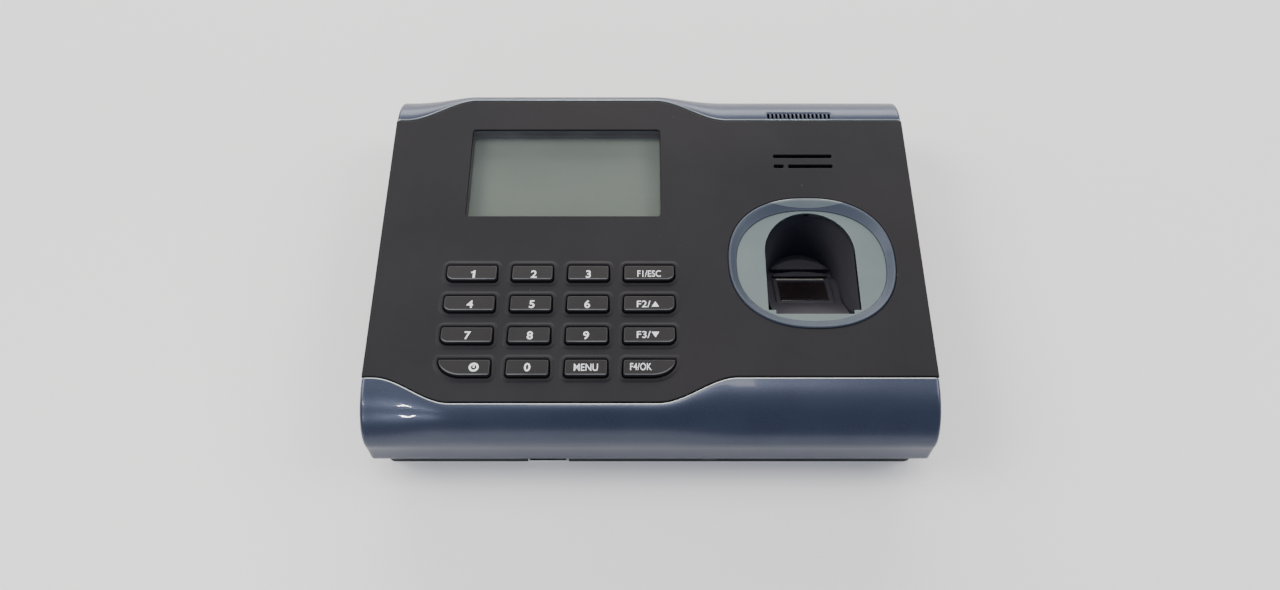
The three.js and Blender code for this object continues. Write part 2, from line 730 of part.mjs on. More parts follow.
const speakerTop = coverUnder - 3 * gap - 0.5;
const speakerParts = {
  speaker_gasket: () =>
    rod(sensorX, speakerY, speakerTop + gap, coverUnder - gap, speaker.radius, 24).subtract(
      rod(sensorX, speakerY, speakerTop, coverUnder, speaker.radius - speaker.rim, 24),
    ),
  speaker_driver: () => {
    const r = speaker.radius;
    const deep = speakerTop - 8;
    return speakerLathe([
      [0, deep], [r * 0.55, deep], [r * 0.55, deep + 3], [r * 0.9, speakerTop - 1.4],
      [r, speakerTop - 1.4], [r, speakerTop],
      [r - speaker.rim, speakerTop], [r - speaker.rim, speakerTop - 1],
      [r * 0.4, deep + 3.4], [0, deep + 3.4],
    ]);
  },
  speaker_cone: () => {
    const r = speaker.radius - speaker.rim - 2 * gap;
    const low = speakerTop - 3.6;
    return speakerLathe([
      [0, low], [r * 0.35, low - 0.2], [r, speakerTop - 0.6], [r, speakerTop - 0.1],
      [r * 0.35, low + 0.6], [0, low + 1.4],
    ]);
  },
};

// ---------------------------------------------------------------- rear housing and wall plate

const housingX = right - wall - housing.clear;
const housingY = upper - wall - housing.clear;
const hookPlaces = plate.hookY.flatMap((y) => [[-plate.hookX, y], [plate.hookX, y]]);

function tray(grow, z0, z1) {
  const shape = roundedRect(
    0, 0, 2 * (housingX + grow), 2 * (housingY + grow), housing.corner + grow,
  );
  return prism(shape, z0, z1, 3);
}

const boardEdges = {
  x0: left + mainBoard.left,
  x1: right - mainBoard.right,
  y0: lower + mainBoard.bottom,
  y1: upper - mainBoard.top,
};
const boardPosts = [boardEdges.y0 + boardPost.fromEdge, boardEdges.y1 - boardPost.fromEdge].flatMap(
  (y) => [[boardEdges.x0 + boardPost.fromEdge, y], [boardEdges.x1 - boardPost.fromEdge, y]],
);

function rearHousing() {
  const rim = housing.depth + housing.lip;
  const floorTop = housing.floor;
  const shell = tray(0, 0, rim).subtract(tray(-housing.wall, floorTop, rim + cut));
  const tubes = screwPlaces.map(([x, y]) => rod(x, y, floorTop - cut, bossFoot - gap, boss.tube));
  const posts = boardPosts.map(([x, y]) =>
    rod(x, y, floorTop - cut, mainBoard.under - gap, boardPost.radius, 10),
  );
  const sleeve = rod(plungerX, plunger.y, floorTop - cut, plunger.top - 1.5, plunger.collar + gap + 1);
  const bayWall = 1.4;
  const bayFrame = box(
    bay.left - bayWall, bay.right + bayWall, bay.bottom - bayWall, bay.top + bayWall,
    floorTop - cut, mainBoard.under - gap,
  );
  const walls = join(shell, ...tubes, ...posts, sleeve, bayFrame);

  const screwHoles = screwPlaces.flatMap(([x, y]) => [
    rod(x, y, -cut, screw.headHigh + 2 * gap, screw.head + gap),
    rod(x, y, -cut, bossFoot + cut, screw.radius + gap),
  ]);
  const plungerHoles = [
    rod(plungerX, plunger.y, -cut, floorTop + cut, plunger.radius + gap),
    rod(plungerX, plunger.y, floorTop, plunger.top, plunger.collar + gap),
  ];
  const reachDown = plate.travel + gap;
  const pocket = box(
    -plate.halfWidth - gap, plate.halfWidth + gap, plate.bottom - reachDown, plate.top + gap,
    -cut, floorUnderPlate,
  );
  const tongue = plate.tongueHalfWidth + gap;
  const tonguePocket = box(
    plate.tongueX - tongue, plate.tongueX + tongue, plate.tabY - reachDown, plate.bottom,
    -cut, floorUnderPlate,
  );
  const tabHalf = plate.tabHalfWidth + gap;
  const tabSlot = box(
    plate.tongueX - tabHalf, plate.tongueX + tabHalf,
    plate.tabY - reachDown, plate.tabY + plate.thick + gap, -cut, floorTop + cut,
  );
  const hookHalf = plate.hookHalfWidth + gap;
  const hookSlots = hookPlaces.map(([x, y]) =>
    box(x - hookHalf, x + hookHalf, y - reachDown, y + plate.thick + gap, -cut, floorTop + cut),
  );
  const lockHole = rodAlongY(
    plate.tongueX, plate.screwHigh, -housingY - cut, -housingY + housing.wall + cut,
    screw.radius + gap,
  );
  const lockSeat = rodAlongY(
    plate.tongueX, plate.screwHigh, -housingY - cut, -housingY + plate.screwSunk,
    screw.head + gap,
  );
  const bayHole = box(bay.left, bay.right, bay.bottom, bay.top, -cut, mainBoard.under);
  const notch = usb.halfWidth + gap;
  const usbNotch = box(
    usbX - notch, usbX + notch, -housingY - cut, -housingY + usb.deep + gap,
    -cut, usb.high + gap,
  );
  return cutAway(
    walls, ...screwHoles, ...plungerHoles, pocket, tonguePocket, tabSlot, ...hookSlots,
    lockHole, lockSeat, bayHole, usbNotch,
  );
}

function wallPlate() {
  const { halfWidth, bottom, top, thick, window: open } = plate;
  const sheet = prism(
    roundedRect(0, (bottom + top) / 2, 2 * halfWidth, top - bottom, plate.corner), 0, thick,
  );
  const tongue = box(
    plate.tongueX - plate.tongueHalfWidth, plate.tongueX + plate.tongueHalfWidth,
    plate.tabY, bottom + cut, 0, thick,
  );
  const tab = box(
    plate.tongueX - plate.tabHalfWidth, plate.tongueX + plate.tabHalfWidth,
    plate.tabY, plate.tabY + thick, 0, plate.tabHigh,
  );
  const hooks = hookPlaces.flatMap(([x, y]) => {
    const [x0, x1] = [x - plate.hookHalfWidth, x + plate.hookHalfWidth];
    const tipUnder = housing.floor + gap;
    return [
      box(x0, x1, y, y + thick, 0, tipUnder + thick),
      box(x0, x1, y, y + plate.hookReach, tipUnder, tipUnder + thick),
    ];
  });
  const cables = box(open.left, open.right, open.bottom, open.top, -cut, thick + cut);
  const inset = 6;
  const holes = [bottom + inset + 2, top - inset].flatMap((y) =>
    [-halfWidth + inset, halfWidth - inset].map((x) => rod(x, y, -cut, thick + cut, plate.hole)),
  );
  const lockHole = rodAlongY(
    plate.tongueX, plate.screwHigh, plate.tabY - cut, plate.tabY + thick + cut, screw.radius + gap,
  );
  return cutAway(join(sheet, tongue, tab, ...hooks), cables, ...holes, lockHole);
}

function caseScrew(x, y) {
  const head = rod(x, y, gap, gap + screw.headHigh, screw.head);
  return head.add(rod(x, y, gap + screw.headHigh / 2, screw.reach, screw.radius, 12));
}

function wallPlateScrew() {
  const outside = -housingY - gap + plate.screwSunk;
  const head = rodAlongY(plate.tongueX, plate.screwHigh, outside - screw.headHigh, outside, screw.head);
  const tip = plate.tabY + plate.thick + 3;
  return head.add(
    rodAlongY(plate.tongueX, plate.screwHigh, outside - screw.headHigh / 2, tip, screw.radius, 12),
  );
}

// ---------------------------------------------------------------- boards and connectors

const onBoard = boardTop + gap;
const hangTop = mainBoard.under - gap; // top of what hangs under the main board

function chip({ x, y, width, length, high }) {
  const [x0, y0] = [boardEdges.x0 + x - width / 2, boardEdges.y0 + y - length / 2];
  return box(x0, x0 + width, y0, y0 + length, onBoard, onBoard + high);
}

function networkJack() {
  const [wide, high, deep] = jack.port;
  const x = (jack.left + jack.right) / 2;
  const z0 = hangTop - jack.high;
  const shell = box(jack.left, jack.right, jack.mouth, jack.back, z0, hangTop);
  const z = z0 + 2.2;
  const port = box(x - wide / 2, x + wide / 2, jack.mouth - cut, jack.mouth + deep, z, z + high);
  const latch = box(x - 3, x + 3, jack.mouth - cut, jack.mouth + deep, z + high - cut, z + high + 1.6);
  return cutAway(shell, port, latch);
}

function powerSocket() {
  const { left: x0, right: x1, mouth, back, high, bore, boreDeep } = powerJack;
  const shell = box(x0, x1, mouth, back, hangTop - high, hangTop);
  return shell.subtract(
    rodAlongY((x0 + x1) / 2, hangTop - high / 2, mouth - cut, mouth + boreDeep, bore),
  );
}

function terminalBlock() {
  const { left: x0, right: x1, mouth, back, high, count, port } = terminals;
  const block = box(x0, x1, mouth, back, hangTop - high, hangTop);
  const pitch = (x1 - x0) / count;
  const ports = Array.from({ length: count }, (_, i) => {
    const x = x0 + (i + 0.5) * pitch;
    const z = hangTop - high / 2;
    return box(x - port / 2, x + port / 2, mouth - cut, mouth + 6, z - port / 2, z + port / 2);
  });
  return cutAway(block, ...ports);
}

function usbSocket() {
  const { halfWidth: w, low, high, deep, shell } = usb;
  const mouth = -housingY;
  return box(usbX - w, usbX + w, mouth, mouth + deep, low, high).subtract(
    box(usbX - w + shell, usbX + w - shell, mouth - cut, mouth + deep - 2, low + shell, high - shell),
  );
}

// A folded ribbon from the display board round to the main board, as [y, z] points.
function displayCable() {
  const thick = ribbon.thick;
  const y1 = displayY - display.height / 2 - display.boardRim + ribbon.displayLength / 2 + 1;
  const y0 = y1 - ribbon.displayLength;
  const [low, high] = [onBoard, displayBoardTop - board.thick - gap];
  return prismAlongX(
    [
      [y1, low], [y1, low + thick], [y0 + thick, low + thick],
      [y0 + thick, high - thick], [y1, high - thick], [y1, high], [y0, high], [y0, low],
    ],
    displayX - ribbon.displayHalfWidth,
    displayX + ribbon.displayHalfWidth,
  );
}

// A folded ribbon from the sensor board up to the main board, as [x, z] points.
function sensorCable() {
  const thick = ribbon.thick;
  const low = housing.floor + 2 * gap + sensorBoard.thick + gap;
  const x0 = boardEdges.x1 - 4;
  const x1 = boardEdges.x1 + 2.6;
  const x2 = sensorX - sensorBoard.width / 2 + 3;
  return prismAlongY(
    [
      [x0, onBoard], [x1, onBoard], [x1, low], [x2, low], [x2, low + thick],
      [x1 + thick, low + thick], [x1 + thick, onBoard + thick], [x0, onBoard + thick],
    ],
    sensorBoardY + 2 - ribbon.sensorWidth,
    sensorBoardY + 2,
  );
}

function tamperPlunger() {
  const { y, radius, collar, collarHigh, top } = plunger;
  const collarUnder = housing.floor + gap;
  return rod(plungerX, y, gap, top, radius).add(
    rod(plungerX, y, collarUnder, collarUnder + collarHigh, collar),
  );
}

const switchUnder = plunger.top + plunger.travel + gap;
const sensorBoardUnder = housing.floor + 2 * gap;

// ---------------------------------------------------------------- finishes

const finish = {
  blackCover: { color: 0x1b1a1d, roughness: 0.55, metalness: 0 },
  blueTrim: { color: 0x3d4f68, roughness: 0.35, metalness: 0.3 },
  blackCase: { color: 0x17171a, roughness: 0.6, metalness: 0 },
  key: { color: 0x141415, roughness: 0.5, metalness: 0 },
  silver: { color: 0x93a19f, roughness: 0.45, metalness: 0.2 },
  ringBlue: { color: 0x5b6d84, roughness: 0.35, metalness: 0.3 },
  clear: { color: 0xdfe6e4, roughness: 0.08, metalness: 0, transparent: true, opacity: 0.35 },
  panel: { color: 0x808b82, roughness: 0.3, metalness: 0 },
  rubber: { color: 0x2a2a2c, roughness: 0.9, metalness: 0 },
  steel: { color: 0xa8abad, roughness: 0.35, metalness: 1 },
  circuit: { color: 0x1e5a36, roughness: 0.5, metalness: 0 },
  chipBlack: { color: 0x1a1a1a, roughness: 0.6, metalness: 0 },
  darkGlass: { color: 0x1a0d0c, roughness: 0.1, metalness: 0 },
  frosted: { color: 0x9aa6a4, roughness: 0.4, metalness: 0 },
  ledRed: { color: 0x8c1a14, roughness: 0.2, metalness: 0 },
  ledGreen: { color: 0x1c7a30, roughness: 0.2, metalness: 0 },
  ribbon: { color: 0xc8c2b0, roughness: 0.6, metalness: 0 },
  terminalGreen: { color: 0x2e7d46, roughness: 0.6, metalness: 0 },
  cone: { color: 0x222222, roughness: 0.9, metalness: 0 },
};

// ---------------------------------------------------------------- assembly

const terminal = new THREE.Group();

function place(name, shape, look) {
  const mesh = new THREE.Mesh(geometryOf(shape), new THREE.MeshStandardMaterial(look));
  mesh.name = name;
  terminal.add(mesh);
}

place("front_cover", frontCover(), finish.blackCover);
place("lower_trim", trimShell(lowerTrim), finish.blueTrim);
place("upper_trim", cutAway(trimShell(upperTrim), ...ventSlots()), finish.blueTrim);
place("rear_housing", rearHousing(), finish.blackCase);

const displayFinish = {
  display_window: finish.clear,
  display_gasket: finish.rubber,
  display_panel: finish.panel,
  display_frame: finish.chipBlack,
  display_board: finish.circuit,
};
for (const [name, make] of Object.entries(displayParts)) place(name, make(), displayFinish[name]);

place("sensor_ring", cutAway(ringBlank(), lensTool(fit), ...lightHoles), finish.ringBlue);
place("status_lens", ringBlank().intersect(lensTool(-fit)), finish.frosted);
place("sensor_plate", sensorPlateSolid(), finish.silver);
place("finger_well", fingerWell(), finish.blackCase);
place(
  "sensor_glass",
  tiltedBlock(
    sensorGlass.width, sensorGlass.length, sensorGlass.sunk, sensorGlass.sunk + sensorGlass.thick,
  ),
  finish.darkGlass,
);
place(
  "sensor_module",
  tiltedBlock(sensorModule.width, sensorModule.length, moduleTop, moduleTop + sensorModule.thick),
  finish.chipBlack,
);
place(
  "sensor_board",
  box(
    sensorX - sensorBoard.width / 2, sensorX + sensorBoard.width / 2,
    sensorBoardY - sensorBoard.length / 2, sensorBoardY + sensorBoard.length / 2,
    sensorBoardUnder, sensorBoardUnder + sensorBoard.thick,
  ),
  finish.circuit,
);

const speakerFinish = {
  speaker_gasket: finish.rubber,
  speaker_driver: finish.steel,
  speaker_cone: finish.cone,
};
for (const [name, make] of Object.entries(speakerParts)) place(name, make(), speakerFinish[name]);

const lamp = (side) =>
  lampAt(sensorX + (side * led.apart) / 2, led.radius, ledBoardTop + gap, lensUnder - gap);
place("led_red", lamp(-1), finish.ledRed);
place("led_green", lamp(1), finish.ledGreen);
place(
  "led_board",
  box(
    sensorX - led.board[0] / 2, sensorX + led.board[0] / 2,
    ledY - led.board[1] / 2, ledY + led.board[1] / 2, ledBoardTop - led.board[2], ledBoardTop,
  ),
  finish.circuit,
);

for (const key of keyTable) place(key.name, keyCap(key), finish.key);
place("keypad_mat", keypadMat(), finish.rubber);
place(
  "keypad_board",
  box(
    keypadBox.x0, keypadBox.x1, keypadBox.y0, keypadBox.y1,
    keyBoardTop - board.thick, keyBoardTop,
  ),
  finish.circuit,
);

place(
  "main_board",
  box(boardEdges.x0, boardEdges.x1, boardEdges.y0, boardEdges.y1, mainBoard.under, boardTop),
  finish.circuit,
);
place("processor_chip", chip(processor), finish.chipBlack);
place("memory_chip", chip(memory), finish.chipBlack);
place("relay", chip(relay), finish.chipBlack);
place(
  "backup_battery",
  rod(
    boardEdges.x0 + battery.x, boardEdges.y0 + battery.y,
    onBoard, onBoard + battery.high, battery.radius, 24,
  ),
  finish.steel,
);
place("network_jack", networkJack(), finish.steel);
place("power_jack", powerSocket(), finish.chipBlack);
place("terminal_block", terminalBlock(), finish.terminalGreen);
place(
  "usb_board",
  box(
    usbX - usbBoard.halfWidth, usbX + usbBoard.halfWidth,
    -housingY + housing.wall + gap, -housingY + housing.wall + gap + usbBoard.length,
    usb.high + 2 * gap, usb.high + 2 * gap + board.thick,
  ),
  finish.circuit,
);
place("usb_socket", usbSocket(), finish.steel);
place("display_cable", displayCable(), finish.ribbon);
place("sensor_cable", sensorCable(), finish.ribbon);

place("tamper_plunger", tamperPlunger(), finish.blackCase);
place(
  "tamper_switch",
  box(
    plungerX - tamperSwitch.half, plungerX + tamperSwitch.half,
    plunger.y - tamperSwitch.half, plunger.y + tamperSwitch.half,
    switchUnder, Math.min(switchUnder + tamperSwitch.high, hangTop),
  ),
  finish.chipBlack,
);
screwPlaces.forEach(([x, y], i) => place(`case_screw_${i + 1}`, caseScrew(x, y), finish.steel));
place("wall_plate", wallPlate(), finish.steel);
place("wall_plate_screw", wallPlateScrew(), finish.steel);

export default terminal;
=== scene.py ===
import math

import bmesh
import bpy
import numpy as np
from mathutils import Matrix, Vector
from mathutils.geometry import delaunay_2d_cdt


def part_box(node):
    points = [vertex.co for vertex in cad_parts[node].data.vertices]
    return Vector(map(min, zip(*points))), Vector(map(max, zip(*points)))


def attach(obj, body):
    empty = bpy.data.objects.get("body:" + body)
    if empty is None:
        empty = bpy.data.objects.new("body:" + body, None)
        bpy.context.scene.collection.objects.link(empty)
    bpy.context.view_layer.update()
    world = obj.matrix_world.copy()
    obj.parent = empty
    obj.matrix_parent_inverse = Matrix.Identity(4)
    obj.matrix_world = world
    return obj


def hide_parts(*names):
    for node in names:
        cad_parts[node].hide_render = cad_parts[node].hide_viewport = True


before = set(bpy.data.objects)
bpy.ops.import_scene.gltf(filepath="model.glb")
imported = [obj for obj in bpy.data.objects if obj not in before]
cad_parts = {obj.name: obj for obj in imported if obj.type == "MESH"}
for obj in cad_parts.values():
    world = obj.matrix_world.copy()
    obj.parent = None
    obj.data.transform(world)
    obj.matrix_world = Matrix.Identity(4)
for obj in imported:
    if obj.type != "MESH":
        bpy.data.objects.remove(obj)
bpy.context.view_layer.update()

# A wall-mounted fingerprint terminal lying on its back. Sizes in this script are in
# millimetres, and a piece becomes metres when its mesh is made.
mm = 0.001
mainBody = "terminal"
weldReach, sliver = 0.002, 0.0005  # points nearer than these are joined


def nodeBox(node):
    # lowest and highest corner of a CAD node, in millimetres
    low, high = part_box(node)
    return np.array(low) / mm, np.array(high) / mm


def flatBox(node, flange=0.0):
    # middle and size of a CAD node seen from above, less a flange all round
    low, high = nodeBox(node)
    return (low[:2] + high[:2]) / 2, high[:2] - low[:2] - 2 * flange


def newObject(name, data):
    made = bpy.data.objects.new(name, data)
    bpy.context.scene.collection.objects.link(made)
    return made


def fullTurn(steps):
    # the angles of one turn, the first not repeated
    return np.arange(steps) * 2 * np.pi / steps


def smooth(value, start, end):
    # 0 before start, 1 after end, with an eased rise between them
    share = np.clip((value - start) / (end - start), 0, 1)
    return share * share * (3 - 2 * share)


def unit(vectors):
    return vectors / np.maximum(np.linalg.norm(vectors, axis=-1, keepdims=True), 1e-12)


# Outlines are closed loops of points, anticlockwise, one row per point.
def offsetLoop(loop, distance):
    # each point moves out along the mean of its two edges' normals, further at a sharp turn
    before = unit(loop - np.roll(loop, 1, axis=0))
    after = unit(np.roll(loop, -1, axis=0) - loop)
    normalBefore = np.stack([before[:, 1], -before[:, 0]], axis=1)
    normalAfter = np.stack([after[:, 1], -after[:, 0]], axis=1)
    mean = unit(normalBefore + normalAfter)
    stretch = 1 / np.maximum((mean * normalBefore).sum(axis=1, keepdims=True), 0.6)
    return loop + distance * stretch * mean


def roundedBar(x, y, width, height, radii, steps=8):
    # four quarter circles; radii go round from the upper right corner, anticlockwise
    corners = [(1, 1), (-1, 1), (-1, -1), (1, -1)]
    arcs = []
    for number, ((sideX, sideY), radius) in enumerate(zip(corners, radii)):
        angle = np.linspace(0, np.pi / 2, steps) + number * np.pi / 2
        centreX = x + sideX * (width / 2 - radius)
        centreY = y + sideY * (height / 2 - radius)
        arc = [centreX + radius * np.cos(angle), centreY + radius * np.sin(angle)]
        arcs.append(np.stack(arc, axis=1))
    return np.concatenate(arcs)


def oval(x, y, halfWidth, halfHeight, squareness, steps=144):
    # |x/a|^n + |y/b|^n = 1, walked round by angle
    turn = np.stack([np.cos(fullTurn(steps)), np.sin(fullTurn(steps))], axis=1)
    return [x, y] + [halfWidth, halfHeight] * np.sign(turn) * np.abs(turn) ** (2 / squareness)


def insideLoop(spots, loop):
    # even-odd rule: a ray along +X crosses the loop's edges an odd number of times
    start, end = loop[None, :, :2], np.roll(loop, -1, axis=0)[None, :, :2]
    x, y = spots[:, 0, None], spots[:, 1, None]
    spans = (start[..., 1] > y) != (end[..., 1] > y)
    rise = np.where(spans, end[..., 1] - start[..., 1], 1)
    crossing = start[..., 0] + (y - start[..., 1]) * (end[..., 0] - start[..., 0]) / rise
    return (spans & (crossing > x)).sum(axis=1) % 2 == 1


class Shell:
    # a piece in the making: grids of points and flat fills, gathered into one mesh
    def __init__(self):
        self.points, self.faces, self.marks, self.count = [], [], [], 0

    def grid(self, block, closed=False, mark=0.0, skip=None, turned=False):
        # block is rows x columns x 3; closed joins the last column to the first;
        # skip marks the cells that are left open, turned faces them the other way
        rows, columns = block.shape[:2]
        index = self.count + np.arange(rows * columns).reshape(rows, columns)
        self.points.append(block.reshape(-1, 3))
        self.marks.append(np.broadcast_to(np.asarray(mark, float), (rows, columns)).reshape(-1))
        self.count += rows * columns
        walk = np.concatenate([index, index[:, :1]], axis=1) if closed else index
        cells = np.stack([walk[:-1, :-1], walk[:-1, 1:], walk[1:, 1:], walk[1:, :-1]], axis=-1)
        cells = cells[..., ::-1] if turned else cells
        kept = cells.reshape(-1, 4) if skip is None else cells[~skip]
        self.faces.extend(kept.tolist())
        return index

    def fill(self, loops):
        # the flat region inside the first loop and outside the others, by constrained Delaunay
        points = np.concatenate(self.points)
        index = np.concatenate(loops)
        flat = points[index][:, :2].tolist()
        edges, start = [], 0
        for loop in loops:
            walk = start + np.arange(len(loop))
            edges.extend(np.stack([walk, np.roll(walk, -1)], axis=1).tolist())
            start += len(loop)
        corners = np.array(delaunay_2d_cdt(flat, edges, [], 0, 1e-6)[2])
        middle = points[index][corners][..., :2].mean(axis=1)
        inside = insideLoop(middle, points[loops[0]])
        for loop in loops[1:]:
            inside &= ~insideLoop(middle, points[loop])
        self.faces.extend(index[corners[inside]].tolist())

    def cap(self, loop):
        # one flat face over a closed loop
        self.faces.append(np.asarray(loop).tolist())

    def stack(self, rings, mark=0.0, capped=(0,)):
        # rings of points joined one to the next, with a flat face over each capped ring
        index = self.grid(rings, closed=True, mark=mark)
        for row in capped:
            self.cap(index[row])

    def bar(self, block):
        # a section whose last row repeats its first, drawn out along the columns
        index = self.grid(block)
        self.cap(index[:-1, 0])
        self.cap(index[:-1, -1])


def carryProfile(loop, profile):
    # a profile of (outward offset, height) pairs carried round an outline
    return np.stack([
        np.concatenate([offsetLoop(loop, offset), np.full((len(loop), 1), height)], axis=1)
        for offset, height in profile
    ])


def makePiece(name, shell, finish, body=mainBody, replaced=(), sharp=32, solid=True,
              attribute=None):
    # solid merges doubles and turns the faces of a closed piece outwards
    mesh = bpy.data.meshes.new(name)
    points = np.concatenate(shell.points) * mm
    mesh.from_pydata(points.tolist(), [], shell.faces)
    if attribute:
        layer = mesh.attributes.new(attribute, "FLOAT", "POINT")
        layer.data.foreach_set("value", np.concatenate(shell.marks).astype(np.float32))
    work = bmesh.new()
    work.from_mesh(mesh)
    bmesh.ops.remove_doubles(work, verts=work.verts, dist=weldReach * mm)
    bmesh.ops.dissolve_degenerate(work, edges=work.edges, dist=sliver * mm)
    if solid:
        bmesh.ops.recalc_face_normals(work, faces=work.faces)
    work.to_mesh(mesh)
    work.free()
    mesh.polygons.foreach_set("use_smooth", np.ones(len(mesh.polygons), bool))
    mesh.set_sharp_from_angle(angle=math.radians(sharp))
    mesh.materials.append(finish)
    piece = newObject(name, mesh)
    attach(piece, body)
    if replaced:
        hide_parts(*replaced)
    return piece


def lipProfile(radius, top, bottom, steps=5, outer=False, guard=0.1):
    # a quarter round from a flat top over the edge and straight down; the first ring is a
    # guard ring on the flat, which keeps the flat's shading flat. Offsets are outwards on an
    # outer edge and inwards on a hole's loop
    angle = np.linspace(0, np.pi / 2, steps)
    away = radius - radius * np.sin(angle)
    drop = radius - radius * np.cos(angle)
    sign = -1 if outer else 1
    ring = [(sign * (radius + guard), top)]
    ring += [(sign * a, top - d) for a, d in zip(away, drop)]
    ring.append((0, bottom))
    return ring


def plateShell(outer, holes, outerProfile, holeProfiles):
    # a closed plate: profiles carried round each outline, and two flat fills between them
    shell = Shell()
    topLoops, bottomLoops = [], []
    for loop, profile in [(outer, outerProfile), *zip(holes, holeProfiles)]:
        rings = shell.grid(carryProfile(loop, profile), closed=True)
        topLoops.append(rings[0])
        bottomLoops.append(rings[-1])
    shell.fill(topLoops)
    shell.fill(bottomLoops)
    return shell


def slabShell(loop, top, bottom, radius, rings=6):
    # a closed block on an outline, with a rounded upper edge and a flat top in shrinking rings
    edge = carryProfile(loop, [(0, bottom), *lipProfile(radius, top, bottom, outer=True)[-2:0:-1]])
    inner = edge[-1]
    centre = inner.mean(axis=0)
    share = np.linspace(0, 1, rings + 1)[1:, None, None]
    tops = inner[None] + (centre - inner)[None] * share
    shell = Shell()
    shell.stack(np.concatenate([edge, tops]))
    return shell


def sheetShell(top, thick):
    # a grid of points and its copy lower down, closed round the four edges
    under = top - [0, 0, thick]
    shell = Shell()
    shell.grid(top)
    shell.grid(under)
    for edge in (np.s_[0], np.s_[-1], np.s_[:, 0], np.s_[:, -1]):
        shell.grid(np.stack([top[edge], under[edge]]))
    return shell


class Signal:
    # a shader socket that takes part in Python arithmetic
    def __init__(self, look, socket):
        self.look, self.socket = look, socket

    def maths(self, operation, first, second):
        return self.look.add("ShaderNodeMath", {"operation": operation}, {0: first, 1: second})

    def __add__(self, other):
        return self.maths("ADD", self, other)

    def __radd__(self, other):
        return self.maths("ADD", other, self)

    def __sub__(self, other):
        return self.maths("SUBTRACT", self, other)

    def __rsub__(self, other):
        return self.maths("SUBTRACT", other, self)

    def __mul__(self, other):
        return self.maths("MULTIPLY", self, other)

    def __rmul__(self, other):
        return self.maths("MULTIPLY", other, self)


class NodeTree:
    # a node tree and its one shader, with the method that adds every other node
    def __init__(self, tree, shaderType):
        self.tree = tree
        self.shader = next(n for n in tree.nodes if n.type == shaderType)

    def add(self, kind, settings, sockets, output=0):
        node = self.tree.nodes.new(kind)
        for name, value in settings.items():
            if name == "stops":
                self.setStops(node.color_ramp, value)
            else:
                setattr(node, name, value)
        for name, value in sockets.items():
            if isinstance(value, Signal):
                self.tree.links.new(value.socket, node.inputs[name])
            else:
                node.inputs[name].default_value = value
        return Signal(self, node.outputs[output])

    def setStops(self, ramp, stops):
        while len(ramp.elements) < len(stops):
            ramp.elements.new(0.5)
        for element, (position, colour) in zip(ramp.elements, stops):
            element.position = position
            element.color = (*colour, 1)

    def use(self, **signals):
        for socket, signal in signals.items():
            self.tree.links.new(signal.socket, self.shader.inputs[socket.replace("_", " ")])


class Look(NodeTree):
    # one material, with patterns that follow the object's own coordinates
    def __init__(self, name, **constants):
        self.material = bpy.data.materials.new(name)
        self.material.use_nodes = True
        super().__init__(self.material.node_tree, "BSDF_PRINCIPLED")
        for socket, value in constants.items():
            self.shader.inputs[socket.replace("_", " ")].default_value = value
        self.place = self.add("ShaderNodeTexCoord", {}, {}, "Object")

    def noise(self, size, detail=3.0, rough=0.55, stretch=(1, 1, 1), shift=(0, 0, 0)):
        # size is a blotch's width in millimetres
        moved = {"Vector": self.place, "Location": shift, "Scale": stretch}
        where = self.add("ShaderNodeMapping", {}, moved)
        sockets = {"Vector": where, "Scale": 1 / (size * mm), "Detail": detail, "Roughness": rough}
        return self.add("ShaderNodeTexNoise", {}, sockets)

    def band(self, value, low, high, start=0.0, end=1.0):
        settings = {"interpolation_type": "SMOOTHSTEP"}
        return self.add("ShaderNodeMapRange", settings, {0: value, 1: low, 2: high, 3: start, 4: end})

    def specks(self, size, density):
        # small dots at random cells, density is the share of cells that hold one
        sockets = {"Vector": self.place, "Scale": 1 / (size * mm)}
        near = self.add("ShaderNodeTexVoronoi", {}, sockets, "Distance")
        cell = self.add("ShaderNodeTexVoronoi", {}, sockets, "Color")
        pick = self.add("ShaderNodeSeparateColor", {}, {"Color": cell}, "Red")
        return self.band(near, 0.22, 0.1) * self.band(pick, 1 - density, 1.02 - density)

    def mix(self, share, first, second):
        colour = lambda value: value if isinstance(value, Signal) else (*value, 1)
        settings = {"data_type": "RGBA"}
        return self.add("ShaderNodeMix", settings, {0: share, 6: colour(first), 7: colour(second)}, 2)

    def bump(self, height, depth):
        # depth is the height of a full step, in millimetres
        return self.add("ShaderNodeBump", {}, {"Height": height, "Distance": depth * mm}, "Normal")

    def use(self, **signals):
        super().use(**signals)
        return self.material


def mouldedPlastic(name, colour, rough, grain=0.35, dust=0.25, edge=None):
    # satin moulding: spark-eroded grain, faint blotches, hand grease and a little dust; where edge is
    # given, a painted highlight in light grey along the marked edge, in patches
    look = Look(name, Specular_IOR_Level=0.22)
    blotch = look.noise(38, 4)
    smear = look.noise(14, 4, 0.55, stretch=(1, 0.7, 1))
    grainNoise = look.noise(grain, 2, 0.5)
    speck = look.specks(1.7, 0.012) * dust
    dark = tuple(c * 0.82 for c in colour)
    light = tuple(c * 1.22 for c in colour)
    base = look.mix(look.band(blotch, 0.3, 0.7), dark, light)
    brown = look.band(look.noise(55, 3, 0.5, shift=(0.03, 0.01, 0)), 0.45, 0.7) * 0.5
    base = look.mix(brown, base, (colour[0] * 1.25, colour[1] * 1.1, colour[2] * 0.85))
    base = look.mix(speck, base, (0.32, 0.31, 0.29))
    if edge:
        # painted highlight: the marked edge turns light grey in patches
        highlightShare = look.add("ShaderNodeAttribute", {"attribute_name": edge}, {}, "Fac")
        base = look.mix(highlightShare * look.band(smear, 0.25, 0.6, 0.5, 1.0), base, (0.13, 0.13, 0.13))
    wear = rough + (look.band(smear, 0.3, 0.7) - 0.5) * 0.05 + (grainNoise - 0.5) * 0.08
    return look.use(Base_Color=base, Roughness=wear, Normal=look.bump(grainNoise, 0.012))


